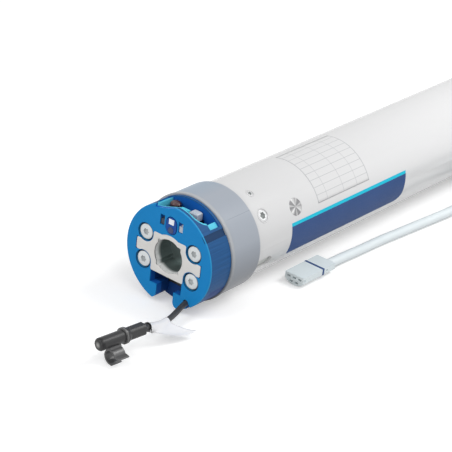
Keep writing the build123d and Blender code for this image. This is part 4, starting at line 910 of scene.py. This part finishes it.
@dataclass(frozen=True)
class StarScrew:
    """Screw head with a lobed recess, a surface of radius and angle."""

    radius: float
    recess: float
    depth: float
    dome: float
    drop: float
    lobes: int = 6
    lobe: float = 0.13
    slope: float = 0.06
    bowl: float = 0.25
    round_start: float = 0.86
    round_drop: float = 0.35 * MM
    crowding: float = 0.9
    rings: int = 34
    spokes: int = 96

    def mesh(self) -> tuple[Array, list[Array], Array]:
        """Closed head about +Z: a dome less a smooth step at the recess, a straight wall, a flat underside.

        The recess ends at a circle with lobes, r = recess (1 - lobe + lobe cos(lobes a)).

        Returns:
            Points, blocks of faces, and for each point its share of the radius and of the recess depth.
        """
        share = np.linspace(0, 1, self.rings) ** self.crowding
        angle = np.linspace(0, 2 * math.pi, self.spokes, endpoint=False)
        share, turn = np.meshgrid(share, angle, indexing="ij")
        radius = share * self.radius
        edge = self.recess * (1 - self.lobe + self.lobe * np.cos(self.lobes * turn))
        step = np.clip((edge * (1 + self.slope) - radius) / (edge * 2 * self.slope), 0, 1)
        step = step * step * (3 - 2 * step)
        fall = np.clip((share - self.round_start) / (1 - self.round_start), 0, 1) ** 2
        height = self.dome * (1 - share ** 2) - self.depth * step - self.round_drop * fall
        height += self.bowl * self.depth * step * (radius / edge)
        points = np.stack([radius * np.cos(turn), radius * np.sin(turn), height], axis=-1)
        rim = points[-1] - np.array([0.0, 0.0, self.drop])
        centre = np.array([[0.0, 0.0, rim[0, 2]]])
        base = self.rings * self.spokes
        around = np.arange(self.spokes)
        after = (around + 1) % self.spokes
        under = np.stack([base + around, base + after, np.full(self.spokes, base + self.spokes)], axis=1)
        marks = np.stack([share, step], axis=-1).reshape(-1, 2)
        below = np.tile([1.0, 0.0], (self.spokes + 1, 1))
        return (
            np.concatenate([points.reshape(-1, 3), rim, centre]),
            [grid_faces(self.rings + 1, self.spokes, wrap=True), under],
            np.concatenate([marks, below]),
        )


def screw_heads(
    shop: Workshop, name: str, node: str, finish: Finish, places: Sequence[tuple[Point, Point, StarScrew]]
) -> None:
    """Gather screw heads into one piece that stands for a CAD node.

    Args:
        shop: workshop that makes the piece.
        name: name of the piece.
        node: the CAD node.
        finish: finish of the heads.
        places: for each head its origin, the direction of its axis and its form.
    """
    points: list[Array] = []
    faces: list[Array] = []
    marks: list[Array] = []
    count = 0
    for origin, direction, screw in places:
        head, blocks, shares = screw.mesh()
        turn = np.array(Vector(direction).to_track_quat("Z", "Y").to_matrix())
        points.append(head @ turn.T + np.array(origin))
        faces += [block + count for block in blocks]
        marks.append(shares)
        count += len(head)
    uv = np.concatenate(marks)
    weld(shop.piece(name, np.concatenate(points), faces, finish, "screw_steel", node, uv=uv))


@dataclass
class SocketFace(Assembly):
    """Cast face of the drive socket: a plate with an arched top and two ears between the screws.

    Sizes are in millimetres. The outline runs along arcs and straight lines; the plate is
    its outline carried along a rounded edge profile, less the mouth of the bore.
    """

    half_width: float = 11.65
    top: float = 11.2
    bottom: float = 12.5
    corner: float = 1.0
    arch: float = 12.6
    hollow: float = 5.65
    reach: float = 22.95
    tip_half: float = 3.65
    tip_corner: float = 1.05
    bore: float = 10.0
    bore_square: float = 17.2
    bore_corner: float = 1.0
    proud: float = 0.12
    sunk: float = 0.3
    edge: float = 0.22
    edge_steps: int = 5
    steps: int = 14
    mouth_steps: int = 180

    def arc(self, centre: Pair, radius: float, start: float, end: float) -> Array:
        """Points of an arc: centre plus radius times (cos a, sin a), angles in degrees."""
        angle = np.radians(np.linspace(start, end, self.steps))
        return np.array(centre) + radius * np.stack([np.cos(angle), np.sin(angle)], axis=-1)

    def outline(self) -> Array:
        """Whole outline, counter-clockwise in X and Z: the right side from below, then its mirror image.

        Returns:
            Points in millimetres.
        """
        x, z = SCREW_PLACE
        inner = self.half_width - self.corner
        tip_x, tip_z = self.reach - self.tip_corner, self.tip_half - self.tip_corner
        leave = math.degrees(math.asin((z - self.tip_half) / self.hollow))
        shoulder = math.degrees(math.asin(self.top / self.arch))
        right = np.concatenate([
            self.arc((inner, self.corner - self.bottom), self.corner, -90, 0),
            self.arc((x, -z), self.hollow, 180, leave),
            self.arc((tip_x, -tip_z), self.tip_corner, -90, 0),
            self.arc((tip_x, tip_z), self.tip_corner, 0, 90),
            self.arc((x, z), self.hollow, -leave, -180),
            self.arc((inner, self.top - self.corner), self.corner, 0, 90),
            self.arc((0.0, 0.0), self.arch, shoulder, 90)[:-1],
        ])
        return np.concatenate([right, [[0.0, self.arch]], right[::-1] * np.array([-1.0, 1.0])])

    def mouth(self) -> Array:
        """Edge of the bore: the farther of a circle and a rounded square at each angle.

        Returns:
            Points in millimetres.
        """
        angle = np.linspace(0, 2 * math.pi, self.mouth_steps, endpoint=False)
        half = self.bore_square / 2
        flat = half / np.maximum(np.abs(np.cos(angle)), np.abs(np.sin(angle)))
        limit = math.sqrt(2) * (half - self.bore_corner) + self.bore_corner
        radius = np.maximum(self.bore, np.minimum(flat, limit))
        return np.stack([radius * np.cos(angle), radius * np.sin(angle)], axis=-1)

    def edge_wall(self, loop: Array, inward: float) -> Array:
        """Rings of a quarter-round edge: the loop drawn in at the face and full below it.

        Each ring is the loop moved along the mean normal of its two sides.

        Args:
            loop: edge of the plate or of the bore.
            inward: -1 for an outer edge, 1 for the bore.

        Returns:
            Points, one ring to a row, from the face down.
        """
        turn = np.linspace(0, math.pi / 2, self.edge_steps)
        drawn = np.append(inward * self.edge * (1 - np.sin(turn)), 0.0)
        depth = np.append(self.edge * (1 - np.cos(turn)), self.proud + self.sunk)
        run = np.roll(loop, -1, axis=0) - np.roll(loop, 1, axis=0)
        flat = loop + drawn[:, None, None] * unit(np.stack([run[:, 1], -run[:, 0]], axis=-1))
        height = np.broadcast_to(depth[:, None] - self.proud, flat.shape[:2])
        return np.stack([flat[..., 0], height, flat[..., 1]], axis=-1)

    def build(self) -> None:
        """Make the plate: a face between both edges, and the two rounded walls."""
        outer, inner = self.edge_wall(self.outline(), -1.0), self.edge_wall(self.mouth(), 1.0)
        rows, around, within = len(outer), outer.shape[1], inner.shape[1]
        count = rows * around
        walls = [grid_faces(rows, around, wrap=True), grid_faces(rows, within, wrap=True)[:, ::-1] + count]
        fans = tessellate_polygon([[Vector((x, z, 0.0)) for x, _, z in wall[0]] for wall in (outer, inner)])
        face = np.concatenate([np.arange(around), np.arange(within) + count])[np.array(fans)]
        points = np.concatenate([outer.reshape(-1, 3), inner.reshape(-1, 3)]) * MM
        weld(self.shop.piece("socket_face", points, [*walls, face], CAST_SILVER, "cast_socket"))


@dataclass
class Head(Assembly):
    """Blue head with the cast socket, its screws, keys and status window."""

    star: StarScrew = StarScrew(4.7 * MM, 1.95 * MM, 1.1 * MM, 0.5 * MM, 1.8 * MM)
    screw_top: float = 0.5 * MM

    def build(self) -> None:
        """Dress the head's nodes and add the socket's face and the four star screws."""
        self.shop.dress({
            SHELL_BLUE: "head_cover",
            CAST_SILVER: "socket_block",
            WINDOW_BLUE: "indicator_insert",
            LENS_MILK: "status_window",
            BUTTON_DARK: "set_button",
            BOARD_GREEN: "key_board",
            KNOB_RED: "radio_switch",
            KEY_WHITE: "direction_switch",
            INNER_BLACK: "plug_socket",
            NECK_GREY: "head_neck",
            CONTACT_BRASS: "socket_pins",
        })
        SocketFace(self.shop).build()
        x, z = scaled(SCREW_PLACE, MM)
        ahead = (0.0, -1.0, 0.0)
        places = [((a * x, self.screw_top, b * z), ahead, self.star) for a in (-1, 1) for b in (-1, 1)]
        screw_heads(self.shop, "face_screws", "head_screws", FACE_SCREW, places)


@dataclass
class Tube(Assembly):
    """Lacquered tube with its print, seal and screws, and the drive ring."""

    big: StarScrew = StarScrew(3.75 * MM, 2.15 * MM, 1.0 * MM, 0.12 * MM, 0.9 * MM)
    small: StarScrew = StarScrew(1.95 * MM, 1.3 * MM, 0.6 * MM, 0.06 * MM, 0.9 * MM)
    big_place: Pair = (52.0 * MM, 38.2)
    small_place: Pair = (53.3 * MM, 67.5)
    end_y: float = 564.25 * MM
    end_angles: tuple[float, ...] = (45.0, 135.0, 225.0, 315.0)
    sunk: float = 0.05 * MM
    rim_gap: float = 0.1 * MM
    rim_width: float = 0.65 * MM
    rim_lift: Pair = (0.03 * MM, 0.09 * MM)
    seal_place: Pair = (80.0 * MM, 32.0)
    seal_radius: float = 5.2 * MM
    seal_lift: float = 0.04 * MM
    wall: float = 0.03 * MM
    spokes: int = 73
    seal_rings: int = 14
    rim_rings: int = 8
    prints: tuple[TubePrint, ...] = (
        TubePrint("navy_band", BAND_NAVY, "plug_navy", (74 * MM, 187 * MM), (-25.0, 11.5), 6 * MM),
        TubePrint("cyan_line", BAND_CYAN, "blue_shell", (74 * MM, 187 * MM), (11.5, 15.5)),
        TubePrint("ruled_panel", PANEL_PRINT, "tube_lacquer", (100 * MM, 150 * MM), (24.0, 105.0)),
    )

    def polar(self, rings: int) -> tuple[Array, Array, Array, Array]:
        """Round grid that faces outwards.

        Args:
            rings: vertices from the middle to the edge.

        Returns:
            Share of the radius and angle of each vertex, UV map and faces.
        """
        angle = np.linspace(0, 2 * math.pi, self.spokes)
        share, turn = np.meshgrid(np.linspace(0, 1, rings), angle, indexing="ij")
        uv = np.stack([turn / (2 * math.pi), share], axis=-1)
        return share, turn, uv, grid_faces(rings, self.spokes)[:, ::-1]

    def seal(self) -> None:
        """Round foil: a polar grid whose points keep their arc length on the tube."""
        share, turn, uv, faces = self.polar(self.seal_rings)
        points = round_patch(*self.seal_place, share * self.seal_radius, turn, self.seal_lift)
        thicken(self.shop.piece("foil_seal", points, [faces], SEAL_FOIL, "screw_steel", uv=uv), self.wall)

    def rims(self, wanted: Sequence[tuple[float, float, StarScrew]]) -> None:
        """Pressed rims round the screws: rings on the tube, raised by sin(pi s s) of their width's share s.

        Args:
            wanted: height on the tube, angle and form of each screw.
        """
        share, turn, uv, faces = self.polar(self.rim_rings)
        low, swell = self.rim_lift
        lift = low + swell * np.sin(math.pi * share ** 2)
        width = self.rim_gap + (self.rim_width - self.rim_gap) * share
        points = np.stack([round_patch(y, a, s.radius + width, turn, lift) for y, a, s in wanted])
        blocks = [faces + index * share.size for index in range(len(wanted))]
        uv = np.tile(uv, (len(wanted), 1, 1))
        thicken(self.shop.piece("screw_rims", points, blocks, SCREW_RIM, "tube_lacquer", uv=uv), self.wall)

    def screws(self) -> None:
        """Star screws that hold the head and the end cap, flush in the tube wall."""
        pairs = ((self.big_place, self.big), (self.small_place, self.small))
        wanted = [(y, angle + turn, form) for (y, angle), form in pairs for turn in (0, 180)]
        wanted += [(self.end_y, angle, self.small) for angle in self.end_angles]
        self.rims(wanted)
        places: list[tuple[Point, Point, StarScrew]] = []
        for y, angle, form in wanted:
            x, z = math.cos(math.radians(angle)), math.sin(math.radians(angle))
            seat = TUBE_RADIUS - self.sunk - form.dome
            places.append(((x * seat, y, z * seat), (x, 0.0, z), form))
        screw_heads(self.shop, "tube_star_screws", "tube_screws", TUBE_SCREW, places)

    def build(self) -> None:
        """Dress the tube and the ring and add the print, the seal and the screws."""
        self.shop.dress({TUBE_WHITE: "motor_tube", RING_GREY: "drive_ring"})
        for sheet in self.prints:
            sheet.build(self.shop)
        self.seal()
        self.screws()


@dataclass
class BrakeSpring(Assembly):
    """Conical disc spring with rounded edges and slots from its bore.

    Sizes are in millimetres. The section is a slanted bar with round ends, turned about
    the axis; between slots the inner end keeps its radius, in a slot it draws back.
    """

    outer: float = 11.9
    inner: float = 7.6
    base: float = 460.4
    top: float = 464.1
    sheet: float = 1.0
    slots: int = 12
    slot_depth: float = 1.6
    slot_edge: Pair = (3.0, 1.6)
    travel: float = 0.4
    spokes: int = 144
    round_steps: int = 9

    def build(self) -> None:
        """Turn the section about Y.

        The section is two half circles joined by lines: a share along the bar and a height
        above its middle. The inner radius grows in a slot by depth times the clipped wave
        a cos(slots t) - b.
        """
        half, width = self.sheet / 2, self.outer - self.inner
        bend = np.linspace(-math.pi / 2, math.pi / 2, self.round_steps)
        inset = half * (1 - np.cos(bend)) / width
        along = np.concatenate([1 - inset, inset])
        above = half * np.concatenate([np.sin(bend), -np.sin(bend)])[:, None]
        turn = np.linspace(0, 2 * math.pi, self.spokes, endpoint=False)
        share, angle = np.meshgrid(along, turn, indexing="ij")
        gain, level = self.slot_edge
        inner = self.inner + self.slot_depth * np.clip(gain * np.cos(self.slots * angle) - level, 0, 1)
        radius = inner + (self.outer - inner) * share
        slope = (self.outer - radius) / width
        height = self.base + half + (self.top - self.base - self.sheet) * slope + above
        points = np.stack([radius * np.cos(angle), height, radius * np.sin(angle)], axis=-1)
        closed = np.concatenate([points, points[:1]]) * MM
        faces = grid_faces(len(closed), self.spokes, wrap=True)
        made = self.shop.piece("cone_spring", closed, [faces], GROUND_STEEL, "screw_steel", "brake_spring")
        weld(made)
        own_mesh(made)


@dataclass
class Drive(Assembly):
    """Everything inside the tube and its output end."""

    def build(self) -> None:
        """Dress the motor, the brake, the gearbox and the output end."""
        steel = " ".join(f"planet_{stage}_{planet}" for stage in (2, 3) for planet in (1, 2, 3))
        self.shop.dress({
            GEAR_NATURAL: "sensor_pinion planet_1_1 planet_1_2 planet_1_3",
            GROUND_STEEL: "output_shaft rotor_shaft brake_armature gear_flange",
            IRON_DARK: f"stator_core rotor_core brake_magnet carrier_1 carrier_2 carrier_3 {steel}",
            COPPER_LACQUER: "stator_windings",
            CAST_ZINC: "end_cap gear_housing end_shields",
            BUSH_BRONZE: "output_bush shaft_bushes",
            BOARD_GREEN: "control_board",
            INNER_BLACK: "inner_tray brake_disc",
            PLUG_GREY: "capacitor",
            CORE_COLOURS[1]: "inner_wires",
        })
        BrakeSpring(self.shop).build()


def spline_curve(name: str, points: Sequence[Point]) -> bpy.types.Curve:
    """One smooth open NURBS spline with a route's points as its control points.

    Args:
        name: name of the curve.
        points: control points.

    Returns:
        The curve.
    """
    curve = bpy.data.curves.new(name, "CURVE")
    curve.dimensions = "3D"
    spline = curve.splines.new("NURBS")
    spline.points.add(len(points) - 1)
    spline.points.foreach_set("co", np.insert(np.array(points), 3, 1.0, axis=1).astype(np.float32).ravel())
    spline.order_u = CORD_ORDER
    spline.use_endpoint_u = True
    spline.resolution_u = CORD_STEPS
    return curve


def spline_line(points: Sequence[Point]) -> Array:
    """Points along the smooth line of a cord, read from its spline without a bevel.

    Args:
        points: control points.

    Returns:
        Points in order, in the same unit.
    """
    curve = spline_curve("line", points)
    made = link("line", curve)
    mesh = bpy.data.meshes.new_from_object(made)
    line = np.empty(len(mesh.vertices) * 3)
    mesh.vertices.foreach_get("co", line)
    bpy.data.objects.remove(made)
    bpy.data.curves.remove(curve)
    bpy.data.meshes.remove(mesh)
    return line.reshape(-1, 3)


@dataclass
class ConnectingCable(Assembly):
    """Unplugged connecting cable: flat plug, free stretch, put-away coil, tail and cores.

    The cable's radius and length are in metres, its points and the other sizes in millimetres.
    """

    radius: float = 3.0 * MM
    length: float = 2.17
    free_run: tuple[Point, ...] = (
        (33.3, 108.5, -28.1), (33.3, 120.0, -28.1), (34.3, 139.0, -28.5), (34.8, 158.0, -28.45),
        (36.4, 177.0, -28.5), (37.9, 197.0, -28.45), (39.7, 217.0, -28.4), (41.3, 236.0, -27.8),
        (38.0, 258.0, -27.4), (31.5, 276.0, -27.4), (28.5, 292.0, -27.4), (28.5, 306.0, -27.4),
    )
    coil_start: Point = (28.5, 312.0, -27.4)
    coil_inner: float = 25.0
    coil_pitch: float = 6.5
    half_turns: int = 8
    steps: int = 12
    tail: tuple[Point, ...] = (
        (0.0, -6.0, 0.0), (0.0, -17.0, 0.0), (0.0, -31.0, -3.6),
        (0.0, -45.0, -7.3), (-2.0, -59.0, -7.55), (-5.0, -72.0, -7.55),
    )
    core_spread: float = 1.3
    core_radius: float = 1.1
    core_length: float = 24.0
    core_spokes: int = 20
    ferrule_radius: float = 0.8
    ferrule_length: float = 8.0
    collar_gain: float = 1.12
    collar: Point = (-1.6, -1.4, 0.4)
    crimp: Point = (0.9, -0.3, 0.75)

    def coil_points(self) -> Array:
        """Control points of the coil.

        Half turns shrink by half a pitch each in the lower layer, one climbs a pitch, and
        the rest grow again in the upper layer. A point at half-turn share t is the middle
        of the half turn plus its radius times (-cos(pi t), side sin(pi t)).

        Returns:
            Points in millimetres.
        """
        step = self.coil_pitch / 2
        inward = self.coil_inner + step * np.arange(self.half_turns - 1, -1, -1)
        radius = np.concatenate([inward, [self.coil_inner - step], inward[::-1]])[:, None]
        order = np.arange(len(radius))[:, None]
        side = np.where(order % 2, -1, 1)
        begun = np.concatenate([[[0.0]], np.cumsum(2 * side * radius, axis=0)[:-1]])
        turn = math.pi * (np.arange(self.steps) + 0.5) / self.steps
        x, y, low = self.coil_start
        climb = np.where(order == self.half_turns, (1 - np.cos(turn)) / 2, order > self.half_turns)
        across = x + begun + side * radius * (1 - np.cos(turn))
        points = np.stack([across, y + side * radius * np.sin(turn), low + self.coil_pitch * climb], axis=-1)
        return points.reshape(-1, 3)

    def route(self) -> Array:
        """All control points in millimetres, from the plug to the bare end.

        The coil lets go of the cable opposite its start, one layer up.

        Returns:
            Points in order.
        """
        widest = self.coil_inner + self.coil_pitch / 2 * (self.half_turns - 1)
        end = np.array(self.coil_start) + np.array([2 * widest, 0.0, self.coil_pitch])
        return np.concatenate([np.array(self.free_run), self.coil_points(), end + np.array(self.tail)])

    def cores(self, before: Array, last: Array) -> list[bpy.types.Object]:
        """Four bare cores with ferrules: circles of varying radius carried along the cable's last run.

        Args:
            before: last but one control point of the cable.
            last: last control point of the cable.

        Returns:
            The cores.
        """
        wide, tip = self.core_radius * self.collar_gain, self.ferrule_radius
        length, end = self.core_length, self.core_length + self.ferrule_length
        start, top, stop = self.collar
        profile = np.array([
            (0.0, 0.0), (self.core_radius, 0.0), (self.core_radius, length + start), (wide, length + top),
            (wide, length + stop), (tip, length + self.crimp[0]), (tip, end + self.crimp[1]),
            (tip * self.crimp[2], end), (0.0, end),
        ])
        run = unit(last - before)
        side = unit(np.cross([0.0, 0.0, 1.0], run))
        rise = np.cross(run, side)
        turn = np.linspace(0, 2 * math.pi, self.core_spokes, endpoint=False)[:, None]
        around = np.cos(turn) * side + np.sin(turn) * rise
        form = profile[:, 1, None, None] * run + profile[:, 0, None, None] * around
        faces = grid_faces(len(profile), self.core_spokes, wrap=True)
        made: list[bpy.types.Object] = []
        for index, (a, b) in enumerate(((-1, -1), (1, -1), (-1, 1), (1, 1))):
            points = (last + self.core_spread * (a * side + b * rise) + form) * MM
            name, finish = f"wire_core_{index + 1}", CORE_COLOURS[index]
            stands_for = "" if index else "wire_ends"
            core = self.shop.piece(name, points, [faces], finish, "core_colours", stands_for)
            weld(core)
            made.append(core)
        return made

    def build(self) -> None:
        """Make the cable as one cord and dress its plug and strap."""
        self.shop.dress({
            PLUG_GREY: "plug_front plug_back",
            BAND_NAVY: "plug_band",
            INNER_BLACK: "cable_tie",
        })
        route = self.route()
        cores = self.cores(route[-2], route[-1])
        stands_for = "supply_cable cable_coil cable_tail"
        points = (route * MM).tolist()
        cable = self.shop.cord("connecting_cable", points, self.radius, CABLE_GREY, "cable_grey", stands_for)


@dataclass
class BlankTag(Assembly):
    """Blank film folded round the aerial's lead, its two halves laid together as a flag.

    Sizes are in millimetres. The film is a surface of u, along the lead, and v, across
    the film: from the flag's edge to the lead, round the lead, and back to the edge.
    """

    lead: Sequence[Point]
    start: float = 0.52
    end: float = 0.955
    radius: float = 1.95
    flare: float = 0.75
    flare_power: int = 6
    mouth: float = 32.0
    joint_share: float = 1.7
    gap: float = 0.12
    film: float = 0.09
    bow: float = 0.7
    edge: tuple[Point, ...] = (
        (34.2, -12.2, -26.9), (32.2, -24.0, -26.6), (27.4, -34.5, -23.4), (24.0, -39.4, -20.6),
    )
    rows: int = 40
    across: int = 18
    around: int = 30

    def lines(self) -> tuple[Array, Array, Array]:
        """Middle line of the sleeve, the flag's edge beside it, and the lead's direction.

        The middle line is the lead's line between two shares of its length. The edge is
        the cubic through its four given points.

        Returns:
            Three arrays with one row for each step along the lead.
        """
        line = spline_line(self.lead)
        reach = np.append(0.0, np.cumsum(np.linalg.norm(np.diff(line, axis=0), axis=1)))
        wanted = np.linspace(self.start, self.end, self.rows) * reach[-1]
        middle = np.stack([np.interp(wanted, reach, line[:, axis]) for axis in range(3)], axis=-1)
        cubic = np.polyfit(np.linspace(0, 1, len(self.edge)), np.array(self.edge), 3)
        edge = np.vander(np.linspace(0, 1, self.rows), 4) @ cubic
        return middle, edge, unit(np.gradient(middle, axis=0))

    def build(self) -> bpy.types.Object:
        """Make the film: v follows the flag's upper half, a circle, and its lower half.

        Returns:
            The piece.
        """
        middle, edge, run = self.lines()
        out = edge - middle
        out = unit(out - np.sum(out * run, axis=1, keepdims=True) * run)
        normal = np.cross(run, out)[:, None]
        turn = np.radians(np.linspace(self.mouth, 360 - self.mouth, self.around))[None, :, None]
        radius = self.radius + self.flare * np.linspace(0, 1, self.rows)[:, None, None] ** self.flare_power
        circle = middle[:, None] + radius * (np.cos(turn) * out[:, None] + np.sin(turn) * normal)
        share = np.linspace(0, 1, self.across)[None, :, None]
        joint = (middle + self.joint_share * radius[:, 0] * out)[:, None]
        flag = joint + (edge[:, None] - joint) * share - self.bow * np.sin(math.pi * share) * normal
        upper, lower = flag + self.gap / 2 * normal, flag - self.gap / 2 * normal
        points = np.concatenate([upper[:, ::-1], circle, lower], axis=1) * MM
        faces = grid_faces(*points.shape[:2])
        made = self.shop.piece("blank_tag", points, [faces], TAG_WHITE, "tag_white", "lead_tag")
        thicken(made, self.film * MM, 0.0)
        return made


@dataclass
class Aerial(Assembly):
    """Aerial on its lead, with the clip and the blank tag; the lead's points are in millimetres."""

    radius: float = 1.65 * MM
    length: float = 0.048
    lead: tuple[Point, ...] = (
        (15.3, 5.0, -22.24), (15.3, 1.0, -22.24), (15.9, -4.4, -23.4), (17.1, -10.4, -24.6),
        (18.6, -17.4, -25.0), (20.1, -25.2, -24.0), (21.5, -33.2, -21.6), (22.6, -41.9, -18.95),
    )

    def build(self) -> None:
        """Dress the aerial and make its lead."""
        self.shop.dress({AERIAL_BLACK: "aerial_body", CLIP_BLACK: "aerial_clip"})
        points = [(x * MM, y * MM, z * MM) for x, y, z in self.lead]
        lead = self.shop.cord("aerial_cord", points, self.radius, LEAD_BLACK, "cord_black", "aerial_lead")
        tag = BlankTag(self.shop, self.lead).build()


@dataclass(frozen=True)
class Lamp:
    """Square area lamp: where it hangs, what it looks at, its side and its watts."""

    name: str
    place: Point
    aim: Point
    size: float
    power: float

    def build(self) -> None:
        """Hang the lamp."""
        data = bpy.data.lights.new(self.name, "AREA")
        data.size = self.size
        data.energy = self.power
        place = Vector(self.place)
        turn = (Vector(self.aim) - place).to_track_quat("-Z", "Y").to_matrix().to_4x4()
        link(self.name, data).matrix_world = Matrix.Translation(place) @ turn


@dataclass
class Studio:
    """Floor, lamps, world and camera."""

    floor_z: float = -31.5 * MM
    floor_reach: float = 6.0
    eye: Point = (601.51 * MM, -768.59 * MM, 512.27 * MM)
    back: Point = (0.5294, -0.7202, 0.4484)
    right: Point = (0.7683, 0.6312, 0.1067)
    lens: float = 160.33
    sensor: float = 36.0
    clip: Pair = (0.05, 30.0)
    sky: float = 0.44
    lamps: tuple[Lamp, ...] = (
        Lamp("key", (-0.3, -0.75, 0.85), (0.0, 0.05, 0.0), 0.7, 4.9),
        Lamp("fill", (0.7, -0.4, 0.8), (0.0, 0.08, 0.0), 0.5, 2.0),
        Lamp("front", (0.42, -0.95, 0.36), (0.0, 0.0, 0.0), 0.2, 1.5),
        Lamp("top", (0.5, 0.6, 0.95), (0.0, 0.25, 0.0), 0.5, 6.5),
        Lamp("far", (0.55, 0.6, 0.2), (0.0, 0.42, -0.02), 0.6, 0.8),
    )

    def camera(self) -> None:
        """Camera at the photograph's place, square to the given back and right directions."""
        back = Vector(self.back).normalized()
        up = back.cross(Vector(self.right)).normalized()
        data = bpy.data.cameras.new("camera")
        data.lens = self.lens
        data.sensor_width = self.sensor
        data.clip_start, data.clip_end = self.clip
        made = link("camera", data)
        turn = Matrix((up.cross(back), up, back)).transposed().to_4x4()
        made.matrix_world = Matrix.Translation(Vector(self.eye)) @ turn
        bpy.context.scene.camera = made

    def floor(self) -> None:
        """Wide flat floor of one square face."""
        ends = (-self.floor_reach, self.floor_reach)
        mesh = bpy.data.meshes.new("floor")
        mesh.from_pydata([(x, y, self.floor_z) for x in ends for y in ends], [], [[0, 2, 3, 1]])
        mesh.materials.append(FloorFinish().material())
        link("floor", mesh)

    def world(self) -> None:
        """Even white sky, dimmer as a light than as it is seen."""
        world = bpy.data.worlds.new("studio")
        world.use_nodes = True
        graph = Graph(world.node_tree, "OutputWorld")
        level = graph.spread(graph.seen(), self.sky, 1.0)
        graph.close(graph.make("Background", {"Color": (1.0, 1.0, 1.0), "Strength": level}))
        bpy.context.scene.world = world

    def build(self) -> None:
        """Set up the studio."""
        bpy.context.scene.view_settings.view_transform = "Standard"
        self.camera()
        self.floor()
        self.world()
        for lamp in self.lamps:
            lamp.build()


def main() -> None:
    """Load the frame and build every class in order."""
    logging.basicConfig(level=logging.INFO, format="%(message)s")
    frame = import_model()
    shop = Workshop(frame["nodes"])
    Studio().build()
    for kind in (ConnectingCable, Aerial, Head, Tube, Drive):
        kind(shop).build()
        log.info("%s done", kind.__name__)


if __name__ == "__main__":
    main()
